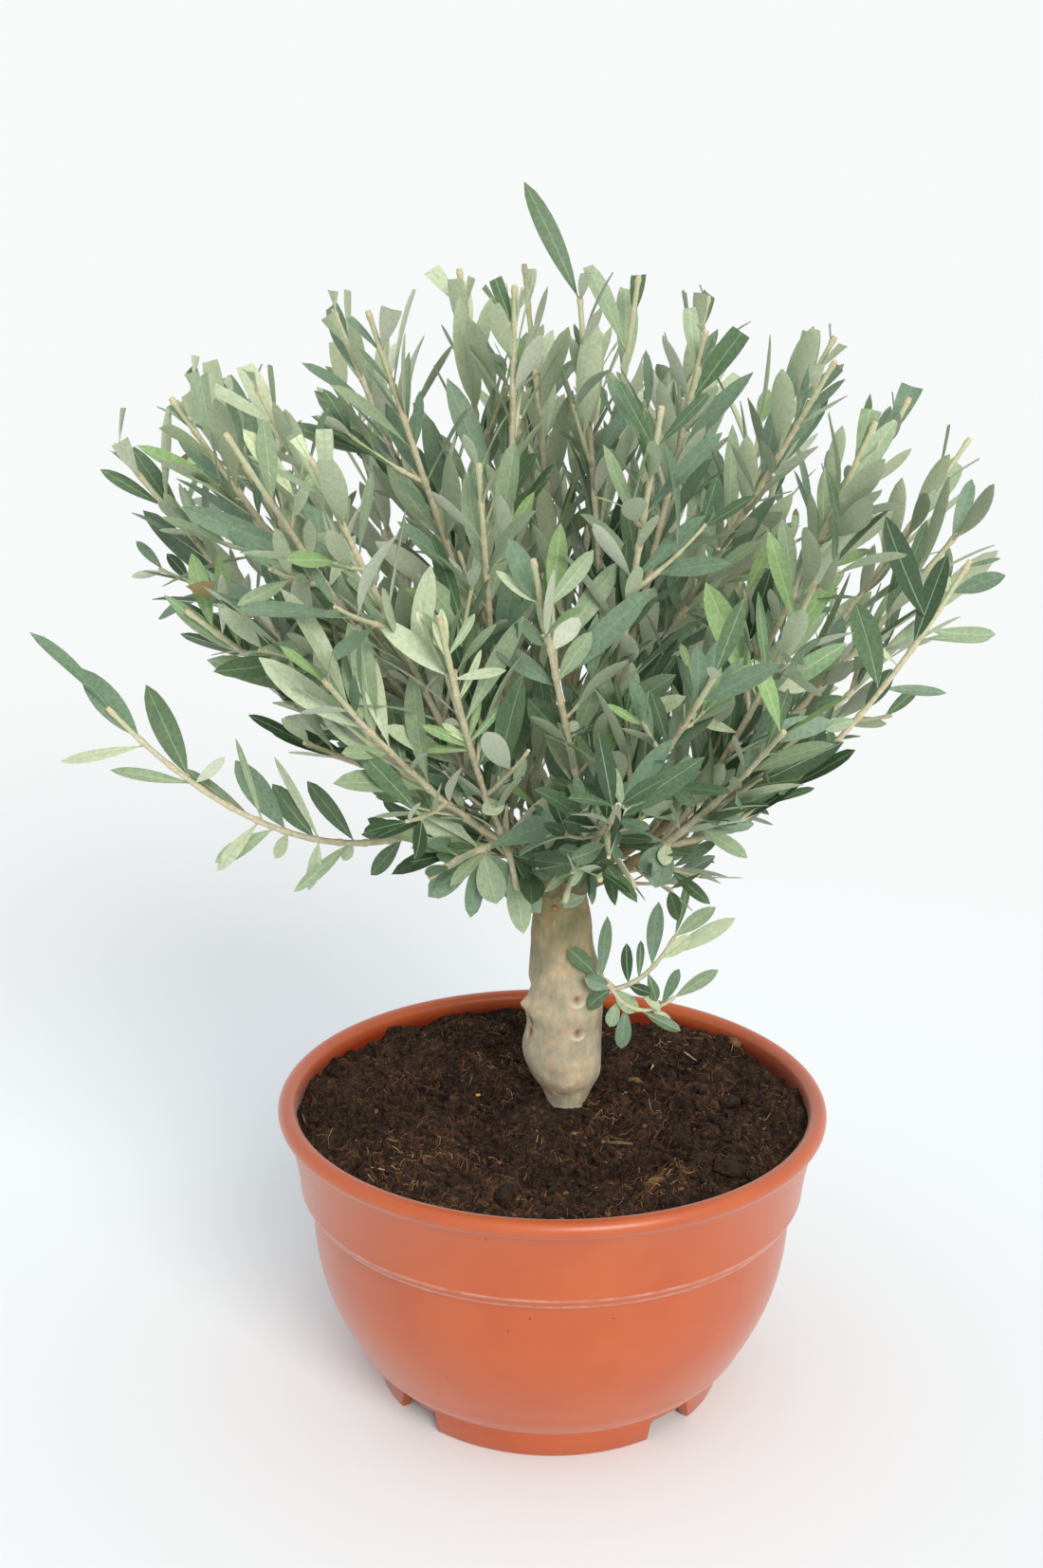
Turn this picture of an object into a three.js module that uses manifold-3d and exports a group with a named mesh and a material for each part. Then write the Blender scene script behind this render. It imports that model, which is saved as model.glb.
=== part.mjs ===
// A young olive tree in a wide round plastic pot, in millimetres, +Z up.
// The origin is on the ground under the middle of the pot. -Y is the front of the plant.
// The tree is a short pollarded trunk, a ring of boughs that sprout from its head, and one mass of
// shoots and leaves on each bough. The head of the crown was clipped to a round dome with shears.

import * as THREE from "three";
import { mergeVertices } from "three/addons/utils/BufferGeometryUtils.js";
import Module from "manifold-3d";

const wasm = await Module();
wasm.setup();

const GAP = 0.3; // clearance between solids that rest on each other
const UP = new THREE.Vector3(0, 0, 1);

const pot = {
  sides: 36,
  wall: 2.5,
  footRadius: 82,
  footInner: 77,
  footHeight: 13,
  footFlare: 1.5,
  floorUnder: 10, // the recessed underside, inside the foot ring
  floorTop: 13.5,
  floorRadius: 78,
  stepRadius: 114.4, // the step where the collar stands out over the belly
  stepHeight: 96,
  collarRadius: 117.8,
  collarHeight: 101,
  collarDraft: 0.6,
  beadRadius: 4.2,
  beadCentre: [123.6, 137.4],
  notches: 4,
  notchAngle: 16,
  notchTop: 9.8,
  firstNotch: -48,
  // outer radius at each height between the foot and the step
  belly: [[84.6, 13.4], [91.6, 20], [97.6, 30], [102.6, 40], [107.9, 54], [111.3, 70], [113.2, 93]],
};

const soil = { top: 131, seat: 14, flat: 22, rings: 4, unevenness: 3.2, humps: [17, 21] };

// Height of each ring of the trunk, the middle of the ring along X, and its half width.
// The foot tapers in sharply where the stump was cut before it was potted.
const trunk = {
  y: 11,
  sides: 12,
  rings: [
    [0, 7, 8.5], [6, 7.2, 11], [15, 6.2, 16.2], [24, 4.8, 18.2], [33, 5, 17.9], [41, 5.4, 17.8],
    [49, 5.1, 18.3], [55, 5.9, 17.3], [65, 5.4, 16.5], [75, 4.5, 15.1], [86, 3.8, 14.4], [97, 3.6, 12.8],
    [108, 3.5, 11.6], [117, 3.2, 12.4], [123, 3, 10.4], [126, 3, 6.5],
  ],
  depth: 0.94, // the trunk is a little thinner from front to back
};

// The shoots radiate from the head of the trunk, and the crown is measured from there.
const head = new THREE.Vector3(3, 11, 248);
const crown = {
  clip: 274, // the shears cut what would stand out past this distance from the middle of their round
  clipMiddle: new THREE.Vector3(-5, 11, 245),
  clipRise: 40, // degrees above the horizon, and only above this
  shortestCut: 0.3, // a leaf cut shorter than this share of its length falls off
  topReach: 264,
  halfWidth: 172,
  halfDepth: 152,
  // no leaf reaches past these sides, or below an underside that rises outward from the skirt
  low: [-213.5, -182],
  high: [206.5, 184],
  skirt: 232,
  frontSkirt: 222, // low leaves hang in front of the head of the trunk
  skirtRadius: 50,
  skirtSlope: 0.55,
  steepSkirt: 0.88, // of the masses at the sides, where the underside rises more steeply
};

const shoot = { sides: 3, segments: 3, baseRadius: 2.1, tipRadius: 1.3, stemLength: 14 };
const leaf = {
  length: 52, width: 15, thickness: 1.7, droop: 0.07, widest: 0.5, spacing: 34, fewest: 3, angle: 44,
  firstNode: 0.04, sunk: 0.35, sizes: [0.82, 1.12], angleSpread: 16, twist: 1.5, faceAlong: 0.5,
};
// the scale and the spread of each try at a leaf
const leafTries = [[1, 1], [0.9, 1.4], [0.8, 0.6], [0.7, 0.9], [0.6, 0.5]];
const sideShoot = { at: [0.36, 0.62], length: 0.4, angle: 38, sag: 3, shortestParent: 120 };

// Each bough: the height where it leaves the trunk, the direction and reach of its tip as seen from the
// head (azimuth from +X, rise above the horizon, both in degrees, and millimetres), and its mass of
// foliage. A mass has a middle direction and its leading shoots. A shoot is given by the azimuth, rise
// and reach of its tip and by its sag, how far its middle hangs under a straight line.
const boughs = [
  { name: "left", foot: 240, azimuth: 178, rise: 32, reach: 60, mass: [172, 42], steep: true,
    shoots: [
      [184, 45, 252, 14], [164, 52, 262, 8], [160, 37, 226, 14], [181, 54, 264, 2], [163, 29, 190, 12],
    ] },
  { name: "left_front", foot: 244, azimuth: 210, rise: 42, reach: 60, mass: [210, 46],
    shoots: [
      [203, 38, 215, 8], [219, 51, 268, 4], [212, 57, 260, 0], [198, 52, 266, 6], [219, 31, 160, 8],
    ] },
  { name: "front_left", foot: 238, azimuth: 247, rise: 24, reach: 62, mass: [244, 42], low: true,
    shoots: [
      [249, 46, 200, 24], [251, 61, 226, 8], [236, 36, 205, 12], [236, 50, 238, 6], [239, 14, 112, -4],
      [256, 8, 100, -6],
    ] },
  { name: "front", foot: 245, azimuth: 282, rise: 30, reach: 56, mass: [280, 42], low: true,
    shoots: [
      [264, 50, 218, 6], [283, 58, 238, 4], [290, 39, 200, 12], [276, 26, 166, 8], [270, 4, 96, -8],
      [291, 10, 98, -8], [278, 16, 110, 4],
    ] },
  { name: "front_right", foot: 239, azimuth: 310, rise: 21, reach: 62, mass: [318, 40], steep: true,
    shoots: [
      [311, 47, 210, 20], [324, 35, 205, 12], [317, 54, 242, 8], [306, 30, 172, 6], [314, 13, 118, 0],
    ] },
  { name: "right", foot: 243, azimuth: 356, rise: 27, reach: 60, mass: [358, 42], steep: true,
    shoots: [[5, 37, 219, 24], [8, 47, 244, 12], [347, 44, 232, 12], [356, 56, 243, 4], [350, 16, 136, 10]] },
  { name: "right_back", foot: 238, azimuth: 34, rise: 28, reach: 58, mass: [34, 41], fan: 4 },
  { name: "back_right", foot: 245, azimuth: 68, rise: 32, reach: 58, mass: [68, 41], fan: 4 },
  { name: "back", foot: 239, azimuth: 102, rise: 28, reach: 58, mass: [102, 41], fan: 5 },
  { name: "back_left", foot: 244, azimuth: 137, rise: 32, reach: 60, mass: [137, 41], fan: 4 },
  { name: "top_left", foot: 250, azimuth: 195, rise: 70, reach: 66, mass: [195, 73],
    shoots: [[192, 80, 268, 0], [176, 68, 270, 4], [218, 68, 264, 4], [248, 77, 250, 0]] },
  { name: "top_right", foot: 250, azimuth: 330, rise: 70, reach: 66, mass: [330, 73],
    shoots: [[300, 88, 256, 0], [0, 77, 252, 0], [352, 65, 248, 4], [303, 69, 244, 2], [326, 62, 246, 4]] },
  { name: "top_back", foot: 250, azimuth: 80, rise: 70, reach: 66, mass: [80, 73], fan: 4 },
  { name: "low_left", foot: 228, azimuth: 205, rise: 18, reach: 60, mass: [204, 16], hangs: true,
    leafSpacing: 21, shoots: [[203, 25, 215, 34]] },
];
const fan = { across: 9, upright: 14, golden: 137.5, sag: 10, low: [12, 105, -4] };

// The one leaf that the shears missed stands up out of the top of the crown.
const topLeaf = { bough: "top_right", shoot: 0, azimuth: 180, rise: 66, length: 54, width: 13 };

// A small water shoot grows from the right of the trunk, low down.
const waterShoot = {
  space: { min: [24, -44, 158], max: [88, 40, 238] },
  stem: [[12, 4, 194], [28, -2.4, 195.6]],
  stemRadius: [1.8, 1.4],
  shoots: [[[25, -2, 196], [46, -10, 202], [62, -14, 220]], [[25, -2, 195], [46, 2, 184], [62, 4, 180]]],
  shootRadius: [1.3, 0.9],
  seed: 900,
  leaf: { length: 26, width: 8.5, spacing: 11, fewest: 4, angle: 50 },
};

// A repeatable random number from 0 to 1 for any list of whole numbers.
function chance(...keys) {
  const wave = Math.sin(keys.reduce((sum, key, i) => sum + key * (12.9898 + 65.233 * i), 4.1)) * 43758.5453;
  return wave - Math.floor(wave);
}

function direction(azimuth, rise) {
  const a = THREE.MathUtils.degToRad(azimuth);
  const r = THREE.MathUtils.degToRad(rise);
  return new THREE.Vector3(Math.cos(a) * Math.cos(r), Math.sin(a) * Math.cos(r), Math.sin(r));
}

function fromHead(azimuth, rise, reach) {
  return direction(azimuth, rise).multiplyScalar(reach).add(head);
}

// ---- solids -------------------------------------------------------------------------------------

function solidOf(geometry) {
  const bare = geometry.index ? geometry.toNonIndexed() : geometry.clone();
  for (const name of Object.keys(bare.attributes)) {
    if (name !== "position") bare.deleteAttribute(name);
  }
  const merged = mergeVertices(bare, 1e-4);
  return new wasm.Manifold(
    new wasm.Mesh({
      numProp: 3,
      vertProperties: merged.attributes.position.array,
      triVerts: new Uint32Array(merged.index.array),
    }),
  );
}

function geometryOf(solid) {
  const mesh = solid.getMesh();
  const geometry = new THREE.BufferGeometry();
  geometry.setAttribute("position", new THREE.BufferAttribute(mesh.vertProperties, 3));
  geometry.setIndex(new THREE.BufferAttribute(mesh.triVerts, 1));
  return geometry;
}

// The largest body of a union, without loose scraps and with sealed hollows filled.
function largestBody(solid) {
  const bodies = solid.asOriginal().simplify(0.1).decompose();
  return bodies.reduce((best, body) => (body.volume() > best.volume() ? body : best));
}

function facetedSolid(corners, faces) {
  const geometry = new THREE.BufferGeometry();
  const places = corners.flatMap((corner) => corner.toArray());
  geometry.setAttribute("position", new THREE.Float32BufferAttribute(places, 3));
  geometry.setIndex(faces);
  return solidOf(geometry);
}

// A closed skin over rings of points. Each ring runs anticlockwise about the way the rings follow on.
function loft(rings) {
  const sides = rings[0].length;
  const faces = [];
  for (let i = 0; i < rings.length - 1; i++) {
    for (let j = 0; j < sides; j++) {
      const a = i * sides + j;
      const b = i * sides + ((j + 1) % sides);
      faces.push(a, b, b + sides, a, b + sides, a + sides);
    }
  }
  const last = (rings.length - 1) * sides;
  for (let j = 1; j < sides - 1; j++) {
    faces.push(0, j + 1, j, last, last + j, last + j + 1);
  }
  return facetedSolid(rings.flat(), faces);
}

// A limb that tapers along a curve.
function limb(curve, segments, startRadius, endRadius, sides) {
  const frames = curve.computeFrenetFrames(segments, false);
  const rings = [];
  for (let i = 0; i <= segments; i++) {
    const t = i / segments;
    const middle = curve.getPointAt(t);
    const radius = THREE.MathUtils.lerp(startRadius, endRadius, t);
    rings.push(
      Array.from({ length: sides }, (_, j) => {
        const turn = (2 * Math.PI * j) / sides;
        return middle
          .clone()
          .addScaledVector(frames.normals[i], radius * Math.cos(turn))
          .addScaledVector(frames.binormals[i], radius * Math.sin(turn));
      }),
    );
  }
  return loft(rings);
}

function lathe(profile, sides) {
  const points = profile.map(([radius, height]) => new THREE.Vector2(radius, height));
  const geometry = new THREE.LatheGeometry(points, sides);
  geometry.rotateX(Math.PI / 2); // the profile's height becomes +Z
  return solidOf(geometry);
}

// ---- pot and soil ------------------------------------------------------------------------------

function potInner() {
  const { belly, wall, beadCentre, beadRadius } = pot;
  const inside = belly.filter((_, i) => i % 2 === 1 || i === belly.length - 1).map(([r, z]) => [r - wall, z]);
  const collar = [pot.collarRadius - wall + pot.collarDraft, pot.collarHeight + wall];
  const neck = beadCentre.map((place) => place - beadRadius);
  return [[pot.floorRadius, pot.floorTop], ...inside, collar, neck];
}

function makePot() {
  const { footRadius, footInner, footHeight, footFlare, floorUnder, floorTop, notchTop } = pot;
  const [beadX, beadZ] = pot.beadCentre;
  const bead = [-70, -20, 30, 80, 130, 180].map((degrees) => {
    const turn = THREE.MathUtils.degToRad(degrees);
    return [beadX + pot.beadRadius * Math.cos(turn), beadZ + pot.beadRadius * Math.sin(turn)];
  });
  const outer = [
    [0, floorUnder], [footInner - 1, floorUnder], [footInner, 0],
    [footRadius, 0], [footRadius + footFlare, footHeight],
    ...pot.belly, [pot.stepRadius, pot.stepHeight], [pot.collarRadius, pot.collarHeight],
  ];
  let solid = lathe([...outer, ...bead, ...potInner().reverse(), [0, floorTop]], pot.sides);
  const width = 2 * footRadius * Math.sin(THREE.MathUtils.degToRad(pot.notchAngle / 2));
  for (let i = 0; i < pot.notches; i++) {
    const notch = new THREE.BoxGeometry(0.4 * footInner, width, 2 * notchTop);
    notch.translate(footInner, 0, 0);
    notch.rotateZ(THREE.MathUtils.degToRad(pot.firstNotch + (360 / pot.notches) * i));
    solid = solid.subtract(solidOf(notch));
  }
  return solid;
}

function makeSoil() {
  const wallSide = potInner().map(([radius, height]) => [radius - GAP, height]);
  wallSide[0][1] += GAP;
  const rim = wallSide.at(-1)[0] - 2 * GAP;
  const top = [];
  for (let i = 0; i < soil.rings; i++) {
    top.push([THREE.MathUtils.lerp(rim, soil.seat, i / (soil.rings - 1)), soil.top]);
  }
  const profile = [[0, wallSide[0][1]], ...wallSide.slice(0, -1), ...top, [0, soil.top]];
  const geometry = new THREE.LatheGeometry(profile.map(([r, z]) => new THREE.Vector2(r, z)), pot.sides);
  geometry.rotateX(Math.PI / 2);
  const place = geometry.attributes.position;
  for (let i = 0; i < place.count; i++) {
    const radius = Math.hypot(place.getX(i) - trunk.rings[0][1], place.getY(i) - trunk.y);
    if (place.getZ(i) < soil.top - 1 || radius < soil.flat) continue;
    const [x, y] = [Math.round(place.getX(i)), Math.round(place.getY(i))];
    const hump = Math.sin(x / soil.humps[0] + 1) * Math.cos(y / soil.humps[1]);
    place.setZ(i, soil.top + soil.unevenness * (hump + 0.5 * chance(x, y) - 0.2));
  }
  return solidOf(geometry);
}

// ---- trunk and boughs ---------------------------------------------------------------------------

// The trunk, or with grow the room that its neighbours leave for it.
function makeTrunk(grow = 0) {
  const last = trunk.rings.length - 1;
  return loft(
    trunk.rings.map(([height, x, half], i) =>
      Array.from({ length: trunk.sides }, (_, j) => {
        const turn = (2 * Math.PI * j) / trunk.sides;
        const knobbly = i > 1 && i < last - 1 ? 1 + 0.05 * (chance(i, j) - 0.5) : 1;
        const radius = half * knobbly + grow;
        const endGrowth = i === 0 ? -grow : i === last ? grow : 0;
        return new THREE.Vector3(
          x + radius * Math.cos(turn),
          trunk.y + radius * trunk.depth * Math.sin(turn),
          soil.top + GAP + height + endGrowth,
        );
      }),
    ),
  );
}

const boughRadius = {
  base: 3.5, tip: 2.5, lowBase: 2.7, lowTip: 2.1, sides: 6, segments: 2, inTrunk: 3, sag: 4,
};

function boughCurve(bough) {
  const tip = fromHead(bough.azimuth, bough.rise, bough.reach);
  const foot = new THREE.Vector3(head.x, head.y, bough.foot);
  foot.addScaledVector(direction(bough.azimuth, 0), boughRadius.inTrunk);
  const middle = foot.clone().lerp(tip, 0.5).addScaledVector(UP, -boughRadius.sag);
  return new THREE.QuadraticBezierCurve3(foot, middle, tip);
}

function boughSizes(bough) {
  return bough.hangs ? [boughRadius.lowBase, boughRadius.lowTip] : [boughRadius.base, boughRadius.tip];
}

function makeBough(bough, socket) {
  const [base, tip] = boughSizes(bough);
  const whole = limb(boughCurve(bough), boughRadius.segments, base, tip, boughRadius.sides);
  return largestBody(whole.subtract(socket));
}

// ---- foliage ------------------------------------------------------------------------------------

// Distance of a point inside its mass's own space, which is the part of the crown that lies nearer to
// that mass's middle direction than to any other.
function depthInSpace(point, bough) {
  const own = direction(...bough.mass);
  const arm = point.clone().sub(head);
  return Math.min(
    ...boughs
      .filter((other) => other !== bough)
      .map((other) => {
        const across = own.clone().sub(direction(...other.mass));
        return arm.dot(across) / across.length();
      }),
  );
}

// True inside the sides and above the underside of the crown. A shoot that hangs may dip below it.
function inCrown({ x, y, z }, { hangs, steep, low }) {
  const out = Math.max(0, Math.hypot(x - head.x, y - head.y) - crown.skirtRadius);
  const slope = hangs ? 0 : steep ? crown.steepSkirt : crown.skirtSlope;
  const underside = (low ? crown.frontSkirt : crown.skirt) + slope * out;
  return z > underside && x > crown.low[0] && x < crown.high[0] && y > crown.low[1] && y < crown.high[1];
}

const limbLines = [
  ...boughs.map((bough) => ({ points: boughCurve(bough).getPoints(8), radius: boughRadius.base, bough })),
  {
    points: trunk.rings.map(([h, x]) => new THREE.Vector3(x, trunk.y, soil.top + h)),
    radius: Math.max(...trunk.rings.map(([, , half]) => half)),
  },
];

function clearOfLimbs(points, margin) {
  const nearest = new THREE.Vector3();
  return limbLines.every(({ points: line, radius }) =>
    line.slice(1).every((end, i) => {
      const part = new THREE.Line3(line[i], end);
      const distance = (point) => part.closestPointToPoint(point, true, nearest).distanceTo(point);
      return points.every((point) => distance(point) > radius + margin);
    }),
  );
}

function clearOfBox(points, box) {
  return ["x", "y", "z"].some(
    (axis, i) =>
      points.every((point) => point[axis] < box.min[i] - 1) ||
      points.every((point) => point[axis] > box.max[i] + 1),
  );
}

// The reach of the crown in a direction, from the head to the tips of its shoots: an upright oval tub
// with a round lid.
function crownReach(azimuth, rise) {
  const { x, y } = direction(azimuth, rise);
  return Math.min(crown.topReach, 1 / Math.hypot(x / crown.halfWidth, y / crown.halfDepth));
}

// The leading shoots of a mass that has no shoots of its own in the table: a fan about its middle.
function fannedShoots(bough) {
  const [azimuth, rise] = bough.mass;
  const number = boughs.indexOf(bough);
  const fanned = Array.from({ length: bough.fan }, (_, i) => {
    const turn = THREE.MathUtils.degToRad(fan.golden * i + 60 * number);
    const up = rise + fan.upright * Math.sin(turn);
    const round = azimuth + (fan.across * Math.cos(turn)) / Math.cos(THREE.MathUtils.degToRad(up));
    return [round, up, crownReach(round, up) * (0.93 + 0.07 * chance(number, i)), fan.sag];
  });
  return bough.rise < 45 ? [...fanned, [azimuth, ...fan.low]] : fanned;
}

function cornersOf(solid) {
  const { vertProperties } = solid.getMesh();
  const count = vertProperties.length / 3;
  return Array.from({ length: count }, (_, i) => new THREE.Vector3().fromArray(vertProperties, 3 * i));
}

// A leaf with a flat underside and a raised midrib, from its root along a direction. Its tip droops.
function makeLeaf(root, along, face, length, width) {
  const across = face.clone().cross(along).normalize();
  const normal = along.clone().cross(across).normalize();
  const at = (run, side, lift) =>
    root
      .clone()
      .addScaledVector(along, run * length)
      .addScaledVector(across, (side * width) / 2)
      .addScaledVector(normal, lift);
  const corners = [
    root.clone(),
    at(leaf.widest, 1, 0),
    at(leaf.widest, -1, 0),
    at(leaf.widest, 0, leaf.thickness),
    at(1, 0, -leaf.droop * length),
  ];
  return facetedSolid(corners, [0, 3, 1, 0, 2, 3, 0, 1, 2, 4, 1, 3, 4, 3, 2, 4, 2, 1]);
}

// Cuts a leaf square where the shears went through it.
function clipLeaf(solid, root, along, length) {
  const reach = root.clone().addScaledVector(along, length).distanceTo(crown.clipMiddle);
  const rise = THREE.MathUtils.radToDeg(Math.asin((root.z - head.z) / root.distanceTo(head)));
  if (reach < crown.clip || rise < crown.clipRise) return solid;
  const kept = length - (reach - crown.clip);
  if (kept < crown.shortestCut * length) return null;
  const block = new THREE.BoxGeometry(length, length, length);
  block.translate(0, 0, kept + length / 2);
  block.applyQuaternion(new THREE.Quaternion().setFromUnitVectors(UP, along));
  block.translate(...root.toArray());
  return solid.subtract(solidOf(block));
}

// Pairs of leaves along a shoot, each pair a quarter turn from the one before. A leaf that isn't allowed
// where it falls is tried again, smaller and closer to the shoot.
function addLeaves({ curve, radius, seed }, sizes, made, allowed) {
  const length = curve.getLength();
  const nodes = Math.max(sizes.fewest, Math.round((length * (1 - leaf.firstNode)) / sizes.spacing));
  const frames = curve.computeFrenetFrames(nodes, false);
  for (let node = 1; node <= nodes; node++) {
    const t = leaf.firstNode + ((1 - leaf.firstNode) * (node - 0.15)) / nodes;
    const along = curve.getTangentAt(t);
    for (const side of [0, 1]) {
      const turn = Math.PI * side + (Math.PI / 2) * node + 0.9 * chance(seed, node, side) + seed;
      const out = frames.normals[node].clone().applyAxisAngle(along, turn);
      const root = curve.getPointAt(t).addScaledVector(out, leaf.sunk * radius);
      const size = THREE.MathUtils.lerp(...leaf.sizes, chance(seed, node, side, 3));
      for (const [scale, spread] of leafTries) {
        const swing = leaf.angleSpread * (chance(seed, node, side, 1) - 0.5);
        const angle = THREE.MathUtils.degToRad(sizes.angle * spread + swing);
        const way = along.clone().multiplyScalar(Math.cos(angle));
        way.addScaledVector(out, Math.sin(angle)).normalize();
        const face = UP.clone().addScaledVector(along, leaf.faceAlong);
        face.applyAxisAngle(way, leaf.twist * (chance(seed, node, side, 2) - 0.5));
        const whole = makeLeaf(root, way, face, sizes.length * size * scale, sizes.width * size * scale);
        const kept = sizes.clipped ? clipLeaf(whole, root, way, sizes.length * size * scale) : whole;
        if (kept && allowed(cornersOf(kept)) && !crossesAny(kept, made, seed)) {
          made.push({ solid: kept, box: kept.boundingBox(), seed: null });
          break;
        }
      }
    }
  }
}

// True if a solid runs into any that is already there, other than the shoot that it grows on.
function crossesAny(solid, others, ownSeed) {
  const box = solid.boundingBox();
  return others.some(
    (other) =>
      other.seed !== ownSeed &&
      [0, 1, 2].every((i) => box.min[i] < other.box.max[i] && box.max[i] > other.box.min[i]) &&
      !solid.intersect(other.solid).isEmpty(),
  );
}

function sideShootsOf({ curve, seed }) {
  if (curve.getLength() < sideShoot.shortestParent) return [];
  return sideShoot.at.map((t, k) => {
    const along = curve.getTangentAt(t);
    const out = new THREE.Vector3().crossVectors(along, UP).normalize();
    out.applyAxisAngle(along, 2 * Math.PI * chance(seed, k, 7));
    const angle = THREE.MathUtils.degToRad(sideShoot.angle);
    const way = along.clone().multiplyScalar(Math.cos(angle)).addScaledVector(out, Math.sin(angle));
    const from = curve.getPointAt(t);
    const to = from.clone().addScaledVector(way, curve.getLength() * sideShoot.length * (1.1 - t));
    const middle = from.clone().lerp(to, 0.5).addScaledVector(UP, -sideShoot.sag);
    const path = new THREE.QuadraticBezierCurve3(from, middle, to);
    return { curve: path, radius: shoot.tipRadius, seed: seed + 500 * (k + 1), parent: seed };
  });
}

function makeMass(bough) {
  const number = boughs.indexOf(bough);
  const line = boughCurve(bough);
  const heading = line.getTangent(1);
  const start = line.getPoint(1).addScaledVector(heading, GAP);
  const fork = start.clone().addScaledVector(heading, shoot.stemLength);
  const stemRadius = boughSizes(bough)[1];
  const stem = limb(new THREE.LineCurve3(start, fork), 1, stemRadius, stemRadius * 0.8, 5);
  const beyondTip = (point) => point.clone().sub(start).dot(heading) > 1;
  const inSpace = (points) =>
    points.every((point) => inCrown(point, bough) && depthInSpace(point, bough) > GAP) &&
    (points.every(beyondTip) || clearOfLimbs(points, 1.5)) &&
    clearOfBox(points, waterShoot.space);

  const leaders = (bough.shoots ?? fannedShoots(bough)).map(([azimuth, rise, reach, sag], i, all) => {
    const root = start.clone().lerp(fork, 0.35 + (0.5 * (i + 1)) / all.length);
    const end = fromHead(azimuth, rise, reach);
    const middle = root.clone().lerp(end, 0.5).addScaledVector(UP, -sag);
    const curve = new THREE.QuadraticBezierCurve3(root, middle, end);
    return { curve, radius: shoot.tipRadius, seed: 10 * number + i };
  });
  const parts = leaders.map(({ curve, seed }) => {
    const solid = limb(curve, shoot.segments, shoot.baseRadius, shoot.tipRadius, shoot.sides);
    return { solid, box: solid.boundingBox(), seed };
  });
  const sides = leaders.flatMap(sideShootsOf).filter((side) => {
    const solid = limb(side.curve, 1, shoot.tipRadius, shoot.tipRadius * 0.8, shoot.sides);
    const pastShears = side.curve.getPoint(1).distanceTo(crown.clipMiddle) > crown.clip;
    if (pastShears || !inSpace(cornersOf(solid)) || crossesAny(solid, parts, side.parent)) return false;
    parts.push({ solid, box: solid.boundingBox(), seed: side.seed });
    return true;
  });
  for (const twig of [...leaders, ...sides]) {
    addLeaves(twig, { ...leaf, spacing: bough.leafSpacing ?? leaf.spacing, clipped: true }, parts, inSpace);
  }
  if (bough.name === topLeaf.bough) {
    const end = leaders[topLeaf.shoot].curve.getPoint(0.985);
    const way = direction(topLeaf.azimuth, topLeaf.rise);
    const solid = makeLeaf(end, way, new THREE.Vector3(0.2, -1, 0.2), topLeaf.length, topLeaf.width);
    parts.push({ solid });
  }
  return largestBody(wasm.Manifold.union([stem, ...parts.map((part) => part.solid)]));
}

// The low water shoot: two twigs from one bud on the trunk, with small leaves.
function makeWaterShoot(socket) {
  const { space, shootRadius } = waterShoot;
  const inSpace = (points) =>
    points.every((p) => ["x", "y", "z"].every((axis, i) => p[axis] > space.min[i] && p[axis] < space.max[i]));
  const toPoint = (place) => new THREE.Vector3(...place);
  const parts = waterShoot.shoots.map((places, i) => {
    const curve = new THREE.QuadraticBezierCurve3(...places.map(toPoint));
    const solid = limb(curve, shoot.segments, ...shootRadius, shoot.sides);
    return { curve, radius: shootRadius[1], seed: waterShoot.seed + 20 * i, solid, box: solid.boundingBox() };
  });
  for (const twig of [...parts]) {
    addLeaves(twig, waterShoot.leaf, parts, inSpace);
  }
  const stem = limb(new THREE.LineCurve3(...waterShoot.stem.map(toPoint)), 1, ...waterShoot.stemRadius, 5);
  return largestBody(wasm.Manifold.union([stem, ...parts.map((part) => part.solid)]).subtract(socket));
}

// ---- the plant ----------------------------------------------------------------------------------

const looks = {
  pot: new THREE.MeshStandardMaterial({ color: 0xc4552f, roughness: 0.42, metalness: 0 }),
  soil: new THREE.MeshStandardMaterial({ color: 0x33241a, roughness: 0.98, metalness: 0 }),
  bark: new THREE.MeshStandardMaterial({ color: 0xa89f8c, roughness: 0.85, metalness: 0 }),
  foliage: new THREE.MeshStandardMaterial({ color: 0x66806a, roughness: 0.6, metalness: 0 }),
};

const plant = new THREE.Group();

function add(name, solid, material) {
  const mesh = new THREE.Mesh(geometryOf(solid), material);
  mesh.name = name;
  plant.add(mesh);
}

const socket = makeTrunk(GAP);
add("pot", makePot(), looks.pot);
add("soil", makeSoil(), looks.soil);
add("trunk", makeTrunk(), looks.bark);
for (const bough of boughs) {
  add(`bough_${bough.name}`, makeBough(bough, socket), looks.bark);
}
for (const bough of boughs) {
  add(`foliage_${bough.name}`, makeMass(bough), looks.foliage);
}
add("foliage_water_shoot", makeWaterShoot(socket), looks.foliage);

export default plant;
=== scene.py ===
# A young olive tree in a wide round pot: the pot, its soil, a short pollarded trunk, a ring of boughs
# and a crown of leafy shoots that was clipped to a dome. Settings are in millimetres and degrees.
import math

import bpy
import numpy as np
from mathutils import Matrix, Vector


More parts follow.
